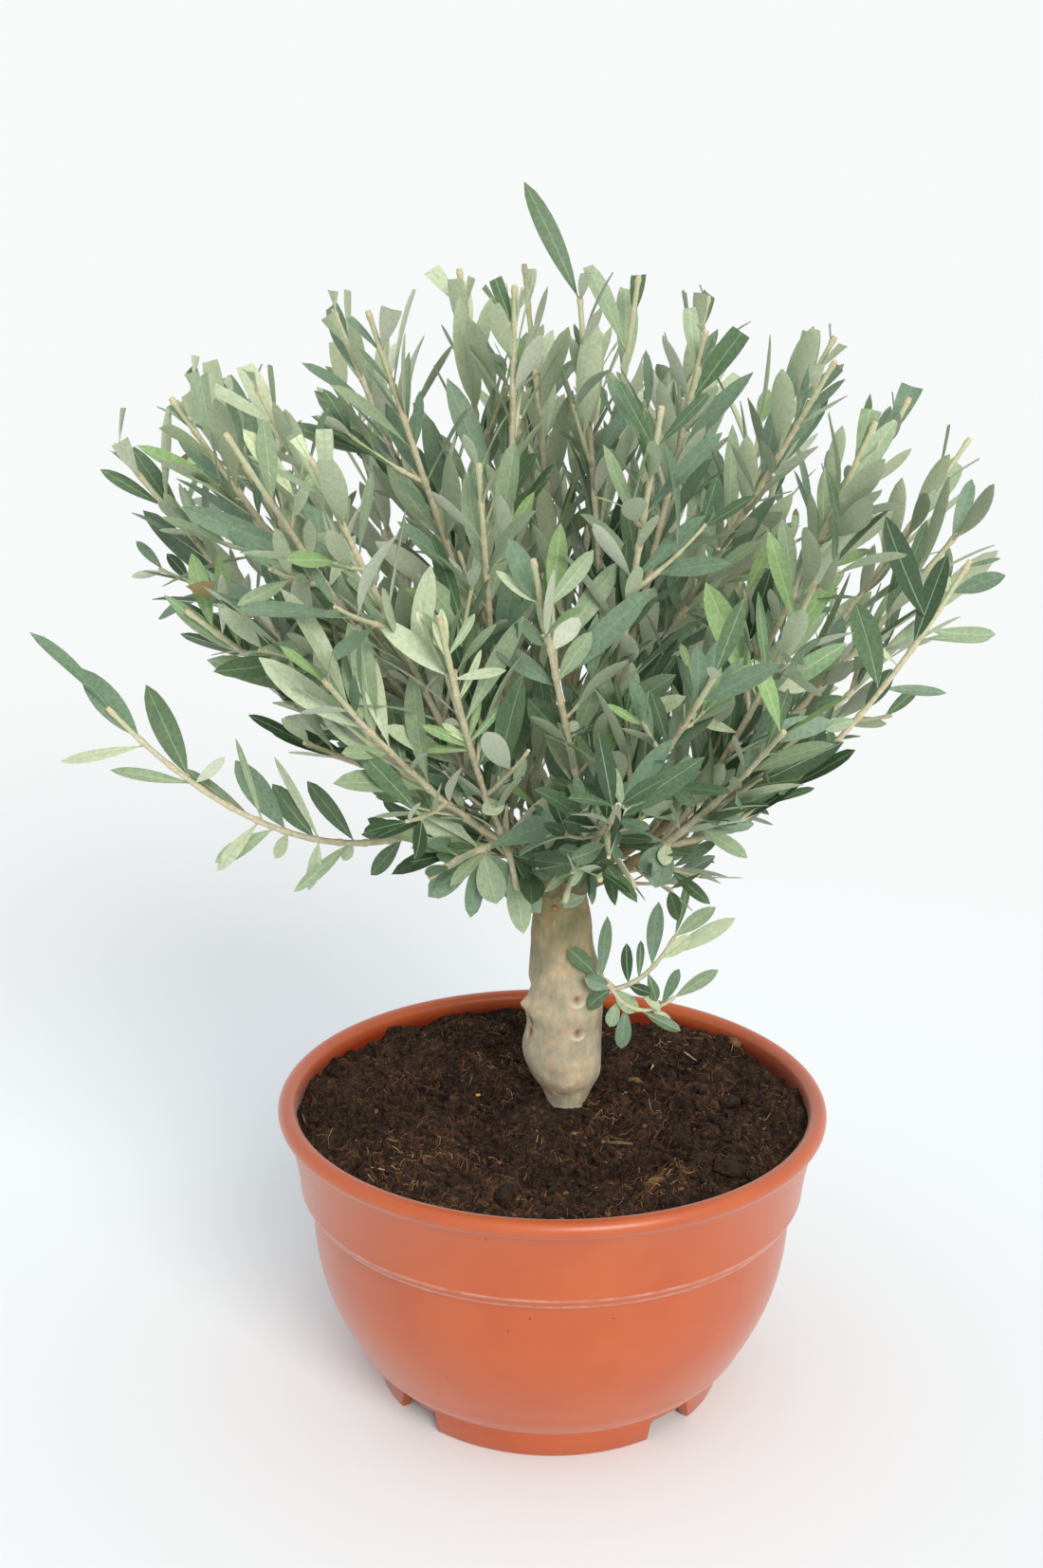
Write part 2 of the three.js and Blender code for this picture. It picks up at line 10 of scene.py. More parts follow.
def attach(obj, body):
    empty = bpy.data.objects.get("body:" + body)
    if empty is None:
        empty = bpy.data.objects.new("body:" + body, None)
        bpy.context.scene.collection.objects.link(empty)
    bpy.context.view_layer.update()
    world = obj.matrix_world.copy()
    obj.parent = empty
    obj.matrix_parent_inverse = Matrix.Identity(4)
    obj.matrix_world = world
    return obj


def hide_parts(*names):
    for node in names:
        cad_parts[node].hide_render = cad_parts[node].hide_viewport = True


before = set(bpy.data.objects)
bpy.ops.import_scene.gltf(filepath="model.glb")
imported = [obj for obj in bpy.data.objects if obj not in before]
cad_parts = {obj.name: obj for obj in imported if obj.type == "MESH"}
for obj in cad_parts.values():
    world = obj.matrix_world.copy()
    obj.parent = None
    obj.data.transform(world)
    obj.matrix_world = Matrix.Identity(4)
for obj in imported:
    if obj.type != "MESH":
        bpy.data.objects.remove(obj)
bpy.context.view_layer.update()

mm = 0.001
up = np.array([0.0, 0.0, 1.0])


# A repeatable random number from 0 to 1 for any list of whole numbers: the fraction of a large sine.
def chance(*keys):
    total = 4.1
    for i, key in enumerate(keys):
        total += key * (12.9898 + 65.233 * i)
    wave = math.sin(total) * 43758.5453
    return wave - math.floor(wave)


# The same for whole arrays of lattice cells (n, 3).
def chanceAt(cells):
    wave = np.sin(cells @ np.array([127.1, 311.7, 74.7]) + 4.1) * 43758.5453
    return wave - np.floor(wave)


# Value noise from -1 to 1: random numbers at the corners of a lattice, blended by 3f^2 - 2f^3.
def noise(points, size, seed=0):
    place = points / size + 31.7 * seed
    cell = np.floor(place)
    part = place - cell
    part = part * part * (3 - 2 * part)
    total = 0
    for corner in np.ndindex(2, 2, 2):
        share = np.where(np.array(corner) == 1, part, 1 - part).prod(axis=-1)
        total = total + share * chanceAt(cell + np.array(corner))
    return 2 * total - 1


# Noise summed over octaves, each half as large and half as high as the one before.
def roughness(points, size, octaves, seed=0):
    return sum(noise(points, size / 2**k, seed + k) / 2**k for k in range(octaves))


def unit(vectors):
    return vectors / np.maximum(np.linalg.norm(vectors, axis=-1, keepdims=True), 1e-9)


# A unit vector from its azimuth, from +X, and its rise above the horizon.
def direction(azimuth, rise):
    a, r = math.radians(azimuth), math.radians(rise)
    return np.array([math.cos(a) * math.cos(r), math.sin(a) * math.cos(r), math.sin(r)])


# Each vector turned about its own axis: v cos + (axis x v) sin + axis (axis . v)(1 - cos).
def turned(vectors, axes, angles):
    c, s = np.cos(angles)[..., None], np.sin(angles)[..., None]
    dot = (vectors * axes).sum(axis=-1, keepdims=True)
    return vectors * c + np.cross(axes, vectors) * s + axes * dot * (1 - c)


# A curve through the named points (x, y), with the slope at each point taken from its neighbours.
def smoothThrough(x, xs, ys):
    xs, ys = np.array(xs, float), np.array(ys, float)
    slopes = np.gradient(ys, xs)
    i = np.clip(np.searchsorted(xs, x) - 1, 0, len(xs) - 2)
    width = xs[i + 1] - xs[i]
    t = np.clip((x - xs[i]) / width, 0, 1)
    ends = (2 * t**3 - 3 * t**2 + 1) * ys[i] + (3 * t**2 - 2 * t**3) * ys[i + 1]
    return ends + width * ((t**3 - 2 * t**2 + t) * slopes[i] + (t**3 - t**2) * slopes[i + 1])


# Quads over a grid whose columns close into a ring; the rows follow on along the piece.
def ringFaces(rows, columns):
    i = np.arange(rows - 1)[:, None] * columns
    j = np.arange(columns)[None, :]
    k = (j + 1) % columns
    return np.stack([i + j, i + k, i + columns + k, i + columns + j], axis=-1).reshape(-1, 4)


# The closed skin of a grid (rows, columns, 3): quads, and at each end a fan to the middle of the row.
def skinOf(grid):
    rows, columns = grid.shape[:2]
    j = np.arange(columns)
    k = (j + 1) % columns
    pole = np.full(columns, rows * columns)
    last = (rows - 1) * columns
    fans = np.concatenate([np.stack([pole, k, j], 1), np.stack([pole + 1, last + j, last + k], 1)])
    ends = np.stack([grid[0].mean(axis=0), grid[-1].mean(axis=0)])
    return np.concatenate([grid.reshape(-1, 3), ends]), [ringFaces(rows, columns), fans]


# Skins of many equal grids (n, rows, columns, 3) at once, each end closed by one face.
def skinsOf(grids):
    count, rows, columns = grids.shape[:3]
    each = rows * columns
    shift = (np.arange(count) * each)[:, None, None]
    ring = np.arange(columns)
    caps = np.stack([ring[::-1], (rows - 1) * columns + ring])
    quads = (ringFaces(rows, columns)[None] + shift).reshape(-1, 4)
    return grids.reshape(-1, 3), [quads, (caps[None] + shift).reshape(-1, columns)]


# Several skins as one: the points end to end, and the face numbers moved on to match.
def joined(skins):
    points, faces, finishes, start = [], {}, {}, 0
    for skin, skinFaces, finish in skins:
        points.append(skin)
        for part, number in zip(skinFaces, finish):
            width = part.shape[1]
            faces.setdefault(width, []).append(part + start)
            finishes.setdefault(width, []).append(np.broadcast_to(number, len(part)))
        start += len(skin)
    widths = sorted(faces)
    order = np.concatenate([np.concatenate(finishes[w]) for w in widths])
    return np.concatenate(points), [np.concatenate(faces[w]) for w in widths], order


# One piece: points (n, 3) in millimetres, arrays of faces, its materials and which face has which.
def addPiece(name, points, faces, materials, nodes, finish=None, sharpAngle=50, marks=None):
    mesh = bpy.data.meshes.new(name)
    corners = np.concatenate([part.ravel() for part in faces]).astype(np.int32)
    counts = np.concatenate([np.full(len(part), part.shape[1]) for part in faces])
    starts = np.concatenate([[0], np.cumsum(counts)[:-1]]).astype(np.int32)
    mesh.vertices.add(len(points))
    mesh.vertices.foreach_set("co", (points * mm).astype(np.float32).ravel())
    mesh.loops.add(len(corners))
    mesh.loops.foreach_set("vertex_index", corners)
    mesh.polygons.add(len(counts))
    mesh.polygons.foreach_set("loop_start", starts)
    for material in materials:
        mesh.materials.append(material)
    if finish is not None:
        mesh.polygons.foreach_set("material_index", np.asarray(finish, dtype=np.int32))
    for label, values in (marks or {}).items():
        mesh.attributes.new(label, "FLOAT", "POINT").data.foreach_set("value", values.astype(np.float32))
    mesh.update(calc_edges=True)
    mesh.validate()
    mesh.shade_smooth()
    mesh.set_sharp_from_angle(angle=math.radians(sharpAngle))
    piece = bpy.data.objects.new(name, mesh)
    bpy.context.scene.collection.objects.link(piece)
    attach(piece, "root")
    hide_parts(*nodes)
    triangles = int((counts - 2).sum())
    print(f"{name}: {triangles} triangles")
    return piece


# sRGB hex to the linear colour that shaders read.
def colourOf(code):
    parts = [int(code[i : i + 2], 16) / 255 for i in (1, 3, 5)]
    return (*[c / 12.92 if c <= 0.04045 else ((c + 0.055) / 1.055) ** 2.4 for c in parts], 1.0)


# Feeds a node's inputs: one given as (node, output) is linked, any other is set.
def feed(tree, node, inputs):
    for key, value in inputs.items():
        if isinstance(value, tuple) and isinstance(value[0], bpy.types.Node):
            tree.links.new(value[0].outputs[value[1]], node.inputs[key])
        else:
            node.inputs[key].default_value = value


def addNode(tree, kind, inputs, **settings):
    node = tree.nodes.new("ShaderNode" + kind)
    for key, value in settings.items():
        setattr(node, key, value)
    feed(tree, node, inputs)
    return node


# Cloudy noise with features of a size in millimetres, on coordinates in metres.
def cloudsOf(tree, place, size, detail=2.0, rough=0.5):
    inputs = {"Vector": place, "Scale": 1 / (size * mm), "Detail": detail, "Roughness": rough}
    return addNode(tree, "TexNoise", inputs), "Fac"


# A value carried from one range into another and held inside it.
def rangeOf(tree, value, start, end, low=0.0, high=1.0, curve="LINEAR"):
    inputs = {"Value": value, "From Min": start, "From Max": end, "To Min": low, "To Max": high}
    return addNode(tree, "MapRange", inputs, interpolation_type=curve), "Result"


def mathOf(tree, operation, first, second=0.0):
    return addNode(tree, "Math", {0: first, 1: second}, operation=operation), "Value"


# Two colours mixed by a share, or the first one multiplied by the second.
def mixOf(tree, share, first, second, blend="MIX"):
    return addNode(tree, "Mix", {0: share, 6: first, 7: second}, data_type="RGBA", blend_type=blend), 2


def rampOf(tree, value, stops):
    ramp = addNode(tree, "ValToRGB", {"Fac": value})
    for i, (place, tone) in enumerate(stops):
        element = ramp.color_ramp.elements[i] if i < 2 else ramp.color_ramp.elements.new(place)
        element.position, element.color = place, colourOf(tone)
    return ramp, "Color"


def bumpOf(tree, height, strength, depth):
    inputs = {"Height": height, "Strength": strength, "Distance": depth * mm}
    return addNode(tree, "Bump", inputs), "Normal"


def markOf(tree, label):
    return addNode(tree, "Attribute", {}, attribute_name=label), "Fac"


def heightOf(tree, place):
    return addNode(tree, "SeparateXYZ", {"Vector": place}), "Z"


# A material with its shader's own sockets set, and its coordinates in metres.
def newMaterial(name, sockets):
    material = bpy.data.materials.new(name)
    material.use_nodes = True
    tree = material.node_tree
    shader = tree.nodes["Principled BSDF"]
    feed(tree, shader, sockets)
    return material, tree, shader, (addNode(tree, "TexCoord", {}), "Object")


# Moulded polypropylene: an even satin orange with a fine matt grain, a few dark specks, and pale scuffs
# along the lines of the ridge, where pots rub in a stack. The inner wall is darker, a painted shade for the
# shadow inside the pot.
def makePotPlastic():
    # the inside tone is a painted shade for the inner wall of the pot
    look = {"body": "#b04d1e", "warm": "#b65524", "cloudSize": 38, "inside": "#85290c",
            "gloss": [0.36, 0.5], "grainSize": 0.5, "grainDepth": 0.2,
            "speck": "#5e2f20", "speckSize": 9, "speckFrom": 0.8, "speckRadius": 0.055,
            "scuff": "#d39a86", "scuffSize": 7, "scuffed": [0.12, 0.62], "lines": [96.4, 100.6],
            "lineEdge": 1.1, "lineCore": 0.2}
    surface = {"IOR": 1.49, "Coat Weight": 0.42, "Coat Roughness": 0.3, "Sheen Weight": 0.16,
               "Sheen Roughness": 0.4}
    material, tree, shader, place = newMaterial("moulded_polypropylene", surface)
    clouds = cloudsOf(tree, place, look["cloudSize"], 3.0)
    body = rampOf(tree, clouds, [(0.35, look["body"]), (0.68, look["warm"])])
    spots = addNode(tree, "TexVoronoi", {"Vector": place, "Scale": 1 / (look["speckSize"] * mm)})
    choice = addNode(tree, "SeparateColor", {"Color": (spots, "Color")})
    rare = mathOf(tree, "GREATER_THAN", (choice, "Red"), look["speckFrom"])
    near = mathOf(tree, "LESS_THAN", (spots, "Distance"), look["speckRadius"])
    body = mixOf(tree, mathOf(tree, "MULTIPLY", rare, near), body, colourOf(look["speck"]))
    height, lines = heightOf(tree, place), []
    edge, core = look["lineEdge"] * mm, look["lineCore"] * mm
    for level in look["lines"]:
        away = mathOf(tree, "ABSOLUTE", mathOf(tree, "SUBTRACT", height, level * mm))
        lines.append(rangeOf(tree, away, edge, core, curve="SMOOTHERSTEP"))
    worn = rangeOf(tree, cloudsOf(tree, place, look["scuffSize"], 4.0), 0.35, 0.7, *look["scuffed"])
    scuffed = mathOf(tree, "MULTIPLY", mathOf(tree, "MAXIMUM", *lines), worn)
    body = mixOf(tree, scuffed, body, colourOf(look["scuff"]))
    grain = cloudsOf(tree, place, look["grainSize"])
    # Painted shade: the inner wall takes the darker inside tone.
    feed(tree, shader, {"Base Color": mixOf(tree, markOf(tree, "inside"), body, colourOf(look["inside"])),
                        "Roughness": rangeOf(tree, clouds, 0.0, 1.0, *look["gloss"]),
                        "Normal": bumpOf(tree, grain, 0.12, look["grainDepth"])})
    return material


# Loose matter such as peat or bark: a dull surface that shifts between named tones, with a bump. Damp
# patches of patchSize are darker and dry ones lighter.
def makeLoose(name, tones, size, bumpDepth, dullness=0.95, patchSize=None):
    material, tree, shader, place = newMaterial(name, {"Roughness": dullness, "Specular IOR Level": 0.25})
    pattern = cloudsOf(tree, place, size, 6.0, 0.65)
    colour = rampOf(tree, pattern, zip(np.linspace(0.28, 0.72, len(tones)), tones))
    if patchSize:
        dryness = rangeOf(tree, cloudsOf(tree, place, patchSize), 0.38, 0.62, 0.5, 1.45)
        colour = mixOf(tree, 1.0, colour, dryness, "MULTIPLY")
    feed(tree, shader, {"Base Color": colour, "Normal": bumpOf(tree, pattern, 0.8, bumpDepth)})
    return material


# Smooth young olive bark: silvery beige with grey-green patches, pinkish spots and faint upright
# streaks. Scars and pits are brown and their rims pale, as the piece's own marks say. Near the top of
# the trunk a grey-green painted shade darkens it, for the shadow of the crown.
def makeBark():
    look = {"green": "#939076", "grey": "#a79f88", "beige": "#c6b597", "pale": "#d8ccb2", "patchSize": 17,
            "pink": "#c9a07c", "spotSize": 4.5, "streakSize": 2.2, "streaks": [0.74, 1.22],
            # the last three settings are a grey-green painted shade and the heights over which it grows,
            # under the crown
            "pit": "#7d4b2a", "rim": "#e2d7c0", "paintedShade": "#b7b896", "paintedShadeFrom": 188, "paintedShadeTo": 232}
    surface = {"Roughness": 0.78, "Specular IOR Level": 0.3}
    material, tree, shader, place = newMaterial("young_olive_bark", surface)
    patches = zip([0.32, 0.45, 0.62, 0.74], [look[tone] for tone in ("green", "grey", "beige", "pale")])
    colour = rampOf(tree, cloudsOf(tree, place, look["patchSize"], 4.0, 0.6), patches)
    spots = rangeOf(tree, cloudsOf(tree, place, look["spotSize"]), 0.56, 0.7, 0.0, 0.62)
    colour = mixOf(tree, spots, colour, colourOf(look["pink"]))
    upright = addNode(tree, "Mapping", {"Vector": place, "Scale": (1.0, 1.0, 0.3)})
    streaks = cloudsOf(tree, (upright, "Vector"), look["streakSize"], 5.0)
    colour = mixOf(tree, 1.0, colour, rangeOf(tree, streaks, 0.0, 1.0, *look["streaks"]), "MULTIPLY")
    for label in ("pit", "rim"):
        colour = mixOf(tree, markOf(tree, label), colour, colourOf(look[label]))
    # Painted shade: the bark darkens to a grey-green towards the top of the trunk, where the crown shades
    # it.
    paintedShade = rangeOf(tree, heightOf(tree, place), look["paintedShadeFrom"] * mm, look["paintedShadeTo"] * mm, 0.0, 0.85,
                    "SMOOTHSTEP")
    feed(tree, shader, {"Base Color": mixOf(tree, paintedShade, colour, colourOf(look["paintedShade"]), "MULTIPLY"),
                        "Normal": bumpOf(tree, streaks, 0.5, 0.6)})
    return material


# A plant skin, for leaves and green twigs: one plain tone with a faint mottle, waxy and thin.
def makeSkin(name, tone, second, dullness, size=1.6):
    material, tree, shader, place = newMaterial(name, {"Roughness": dullness, "Specular IOR Level": 0.4})
    mottle = cloudsOf(tree, place, size, 3.0)
    feed(tree, shader, {"Base Color": rampOf(tree, mottle, [(0.3, tone), (0.72, second)]),
                        "Normal": bumpOf(tree, mottle, 0.25, 0.2)})
    return material


potPlastic = makePotPlastic()
peat = makeLoose("peat_compost", ["#0e0906", "#20150f", "#3a281c", "#5c4633"], 3.0, 0.9, 0.95, 34)
crumbPeat = makeLoose("peat_crumb", ["#17100c", "#2c1f17", "#473223"], 2.4, 0.5)
woodChip = makeLoose("composted_wood", ["#4a3423", "#6e5238", "#8e7150"], 1.5, 0.3)
coir = makeLoose("coir_fibre", ["#3f2717", "#644128", "#8a6442"], 5, 0.1, 0.8, 26)
straw = makeLoose("dry_straw", ["#86683f", "#a88b60", "#c9b58e"], 4, 0.1, 0.6)
bead = makeSkin("fertiliser_bead", "#b07c28", "#cf9c45", 0.4)
bark = makeBark()

# leaf faces by name; uppers are dealt out by spray, and every leaf has a midrib and an underside
leafFinish = {
    "deep": makeSkin("leaf_upper_deep_green", "#32482f", "#425a3f", 0.4),
    "dark": makeSkin("leaf_upper_dark_green", "#496244", "#5f7854", 0.42),
    "blue": makeSkin("leaf_upper_blue_green", "#607961", "#778f74", 0.45),
    "grey": makeSkin("leaf_upper_grey_green", "#829775", "#99ab8a", 0.48),
    "sage": makeSkin("leaf_upper_sage", "#a6b392", "#bfc9aa", 0.52),
    "young": makeSkin("leaf_young_bright_green", "#7b9a5f", "#92b079", 0.45),
    "fresh": makeSkin("leaf_fresh_green", "#6e8e64", "#85a47a", 0.45),
    "tender": makeSkin("leaf_tender_pale_green", "#b7c596", "#d0dab6", 0.5),
    "under": makeSkin("leaf_underside_sage", "#a2ae8f", "#b6c1a3", 0.72),
    "pale": makeSkin("leaf_underside_silver", "#b6bfa6", "#cad1bd", 0.75),
    "midrib": makeSkin("leaf_midrib", "#9aab86", "#adbb99", 0.5),
    "vein": makeSkin("leaf_midrib_of_dark_leaves", "#6f8a6c", "#829a7c", 0.5),
    "rust": makeSkin("leaf_tip_rust", "#7f6d47", "#76724a", 0.6),
}
leafNumber = {name: i for i, name in enumerate(leafFinish)}
twigFinish = {
    "grey": makeLoose("twig_bark_beige", ["#aaa388", "#c0b99d", "#d8d0b6"], 2.5, 0.12, 0.7),
    "green": makeSkin("twig_bark_yellow_green", "#b3b590", "#cac9a6", 0.55),
    "node": makeLoose("twig_node_cork", ["#b0a583", "#c6bb98", "#dbd1b3"], 1.2, 0.1, 0.8),
    "bud": makeSkin("twig_bud_brown", "#8a603c", "#a98557", 0.6),
}
twigNumber = {name: i for i, name in enumerate(twigFinish)}
print("finishes made")


pot = {
    "columns": 288, "wall": 2.5,
    # the underside and the foot ring, with four feet whose ends rise over notchSlope degrees
    "under": [[20, 10], [76, 10], [77, 1], [78, 0], [81, 0], [82, 1], [82.4, 9.9], [83.4, 12.6],
              [83.6, 13.3]],
    "ringInside": 70, "feet": 4, "firstNotch": -48, "notchAngle": 16, "notchSlope": 1.4, "notchTop": 9.8,
    "belly": [[84.6, 13.8], [91.6, 20], [97.6, 30], [102.6, 40], [107.9, 54], [111.3, 70], [112.4, 82],
              [113.2, 93]], "bellyRows": 34,
    # the ridge under the collar: a small groove, a rounded step and a second rounded edge
    "ridge": [[113.4, 94.6], [114.7, 95.2], [115.7, 96.3], [115.9, 97.6], [116.3, 98.4], [117.5, 99.2],
              [118.1, 100.4], [118.2, 101.6]],
    "collar": [[118.6, 106], [119.8, 114], [121.4, 122.5], [123.3, 131], [124.1, 133]],
    "bead": [123.6, 137.4], "beadRadius": 4.2, "beadTurn": [-62, 180], "beadRows": 18,
    "nickAngle": -76, "nickWidth": 0.9, "nickDepth": 0.5, "nickBelow": [4, 0.5],
    "lining": [[119.4, 133.2], [118.4, 124], [116.4, 108], [115.6, 100]], "floor": [[78, 13.5],
               [20, 13.5]],
}


# The pot is a profile carried round the axis: (r cos a, r sin a, z). Under the foot ring z also
# depends on a, so that four flat feet stand between four low arches. The bead has one small nick.
def makePot():
    angle = 2 * np.pi * np.arange(pot["columns"]) / pot["columns"]
    pitch = 360 / pot["feet"]
    fromNotch = (np.degrees(angle) - pot["firstNotch"] + pitch / 2) % pitch - pitch / 2
    notch = pot["notchAngle"] / 2 + pot["notchSlope"]
    lift = np.clip((notch - np.abs(fromNotch)) / pot["notchSlope"], 0, 1)
    radii, levels = np.array(pot["belly"]).T
    heights = np.linspace(levels[0], levels[-1], pot["bellyRows"])
    belly = np.stack([smoothThrough(heights, levels, radii), heights], 1)
    turn = np.radians(np.linspace(*pot["beadTurn"], pot["beadRows"]))
    beadX, beadZ = pot["bead"]
    bead = np.array(pot["bead"]) + pot["beadRadius"] * np.stack([np.cos(turn), np.sin(turn)], 1)
    outer = [*pot["under"], *belly, *pot["ridge"], *pot["collar"], *bead]
    inner = [*pot["lining"], *(belly[3::4][::-1] - [pot["wall"], 0]), *pot["floor"]]
    radius, height = np.array(outer + inner).T
    grid = np.stack([radius[:, None] * np.cos(angle), radius[:, None] * np.sin(angle),
                     np.repeat(height[:, None], len(angle), axis=1)], -1)
    foot = (height < pot["notchTop"]) & (radius > pot["ringInside"])
    arch = pot["notchTop"] * lift[None] + 0.05 * height[foot, None]
    grid[foot, :, 2] = np.maximum(grid[foot, :, 2], arch)
    nick = np.exp(-(((np.degrees(angle) - 360 - pot["nickAngle"]) / pot["nickWidth"]) ** 2))
    low, high = beadZ - np.array(pot["nickBelow"])
    nicked = (height > low) & (height < high) & (radius > beadX)
    grid[nicked, :, :2] *= 1 - (pot["nickDepth"] / beadX) * nick[None, :, None]
    points, faces = skinOf(grid)
    # the points of the inner wall carry the mark for the painted shade inside the pot
    getsPaintedShade = np.repeat(np.arange(len(height)) >= len(outer), len(angle))
    addPiece("pot_moulded", points, faces, [potPlastic], ["pot"], sharpAngle=48,
             marks={"inside": np.append(getsPaintedShade, [0, 1])})


makePot()


soil = {
    "top": 130.6, "rings": 150, "columns": 330, "edge": 119.2, "middle": 1.2,
    "side": [[60, 70], [107.6, 70], [112.4, 93], [116.0, 110]],
    "humps": [17, 21], "hump": 2.6, "clumpSize": 9, "clump": 3.0, "grainSize": 3.2, "grain": 2.6,
    "holeSize": 7, "holeFrom": 0.55, "hole": 9, "trunkAt": [7, 11], "flat": [11, 26],
    # broad rises and hollows: middle x, y, radius and height
    "mounds": [[-62, 62, 46, 3.6], [10, 92, 30, 2.4], [-96, 6, 26, 2.2], [87, 12, 13, -7],
               [76, 66, 30, 2.2], [60, 40, 16, -2.6], [-30, -20, 26, -2.2], [40, -66, 24, 2.0],
               [84, -62, 12, 3.2], [14, -26, 18, -2.4], [-70, -62, 22, 1.6]],
    "crumbs": 2600, "crumbSize": [0.6, 2.9], "peatShare": 0.93, "largestChip": 1.6,
    "fibres": 3600, "fibreLength": [3, 15], "fibreRadius": 0.1, "strawShare": [0.025, 0.4],
    # tufts of fibres: middle x, y, spread and number
    "tufts": [[42, -77, 7, 90], [92, 77, 6, 70], [29, -1, 8, 50], [-16, 50, 7, 40], [-61, -49, 12, 90]],
    # single finds: middle x, y, length, width, heading and finish
    "finds": [[30, -36, 12, 2, -6, 1], [23, -50, 10, 0.9, -53, 2], [-35, 13, 2.4, 2.2, 0, 3],
              [51, 48, 16, 1.1, -105, 2], [68, 58, 20, 1, -63, 2], [44, -74, 8, 5, 10, 1],
              [17, -87, 13, 9, -20, 0], [-21, -85, 15, 8, 80, 0], [77, -66, 16, 11, -35, 0],
              [41, 33, 8, 6, -44, 1], [66, -58, 12, 9, 10, 0], [93, 72, 9, 6, -54, 1],
              [-76, -63, 12, 0.8, -23, 2], [86, 18, 12, 9, 30, 0]],
}


# Height of the soil: long humps, clumps and grains, all faded out where the trunk stands.
def soilHeight(x, y):
    flatPoints = np.stack([x, y, np.zeros_like(x)], -1)
    away = np.hypot(x - soil["trunkAt"][0], y - soil["trunkAt"][1])
    fade = np.clip((away - soil["flat"][0]) / (soil["flat"][1] - soil["flat"][0]), 0, 1)
    hump = soil["hump"] * (np.sin(x / soil["humps"][0] + 1) * np.cos(y / soil["humps"][1]) - 0.1)
    clump = soil["clump"] * roughness(flatPoints, soil["clumpSize"], 2, 3)
    grain = soil["grain"] * np.abs(roughness(flatPoints, soil["grainSize"], 3, 9))
    hole = soil["hole"] * np.clip(roughness(flatPoints, soil["holeSize"], 2, 15) - soil["holeFrom"], 0, 1)
    for mx, my, wide, lift in soil["mounds"]:
        hump = hump + lift * np.exp(-((x - mx) ** 2 + (y - my) ** 2) / wide**2)
    return soil["top"] + fade * (hump - hole) + (0.35 + 0.65 * fade) * (clump + grain)


# Rings from the rim of the soil to its middle at (r cos a, r sin a, height), and a plain side below.
def makeSoil():
    angle = 2 * np.pi * np.arange(soil["columns"]) / soil["columns"]
    radius = np.linspace(soil["edge"], soil["middle"], soil["rings"])[:, None]
    x, y = radius * np.cos(angle), radius * np.sin(angle)
    top = np.stack([x, y, soilHeight(x, y)], -1)
    sideRadius, sideHeight = np.array(soil["side"]).T[..., None]
    side = np.stack([sideRadius * np.cos(angle), sideRadius * np.sin(angle), sideHeight + 0 * angle], -1)
    points, faces = skinOf(np.concatenate([side, top]))
    addPiece("soil_surface", points, faces, [peat], ["soil"], sharpAngle=80)


# Random places on the soil, evenly spread: radius R sqrt(u), angle 2 pi v.
def strewn(count, seed, inner=14):
    rng = np.random.default_rng(seed)
    spread = soil["edge"] - 3
    radius = np.sqrt(rng.uniform((inner / spread) ** 2, 1, count)) * spread
    angle = rng.uniform(0, 2 * np.pi, count)
    return radius * np.cos(angle), radius * np.sin(angle), rng


# Crumbs and finds are icosahedra with every corner moved in or out at random, then flattened and turned.
def makeCrumbs():
    x, y, rng = strewn(soil["crumbs"], 5)
    g = (1 + 5**0.5) / 2
    corner = np.array([[-1, g, 0], [1, g, 0], [-1, -g, 0], [1, -g, 0], [0, -1, g], [0, 1, g], [0, -1, -g],
                       [0, 1, -g], [g, 0, -1], [g, 0, 1], [-g, 0, -1], [-g, 0, 1]]) / g
    side = np.array([[0, 11, 5], [0, 5, 1], [0, 1, 7], [0, 7, 10], [0, 10, 11], [1, 5, 9], [5, 11, 4],
                     [11, 10, 2], [10, 7, 6], [7, 1, 8], [3, 9, 4], [3, 4, 2], [3, 2, 6], [3, 6, 8],
                     [3, 8, 9], [4, 9, 5], [2, 4, 11], [6, 2, 10], [8, 6, 7], [9, 8, 1]])
    count = len(x)
    least, most = soil["crumbSize"]
    size = least + (most - least) * rng.uniform(0, 1, count) ** 2.6
    shape = corner[None] * rng.uniform(0.6, 1.15, (count, 12, 1)) * size[:, None, None]
    flatness = [np.ones(count), rng.uniform(0.5, 1, count), rng.uniform(0.4, 0.8, count)]
    shape = shape * np.stack(flatness, 1)[:, None]
    spin = rng.uniform(0, 2 * np.pi, count)[:, None] * np.ones((1, 12))
    tilt = rng.uniform(-0.6, 0.6, count)[:, None] * np.ones((1, 12))
    shape = turned(shape, np.array([1.0, 0, 0]) * np.ones_like(shape), tilt)
    shape = turned(shape, up * np.ones_like(shape), spin)
    shape += np.stack([x, y, soilHeight(x, y) + 0.25 * size], 1)[:, None]
    isPeat = (rng.uniform(0, 1, count) < soil["peatShare"]) | (size > soil["largestChip"])
    fx, fy, length, width, heading, kind = np.array(soil["finds"]).T
    found = corner[None] * rng.uniform(0.8, 1.1, (len(fx), 12, 1))
    found = found * np.stack([length / 2, width / 2, 0.35 * width], 1)[:, None]
    found = turned(found, up * np.ones_like(found), np.radians(heading)[:, None] * np.ones((1, 12)))
    found += np.stack([fx, fy, soilHeight(fx, fy) + 0.1 * width + 1], 1)[:, None]
    shape, finish = np.concatenate([shape, found]), np.append(np.where(isPeat, 0, 1), kind)
    faces = (side[None] + 12 * np.arange(len(shape))[:, None, None]).reshape(-1, 3)
    materials = [crumbPeat, woodChip, straw, bead]
    addPiece("soil_crumbs", shape.reshape(-1, 3), [faces], materials, ["soil"],
             np.repeat(finish, len(side)), 30)


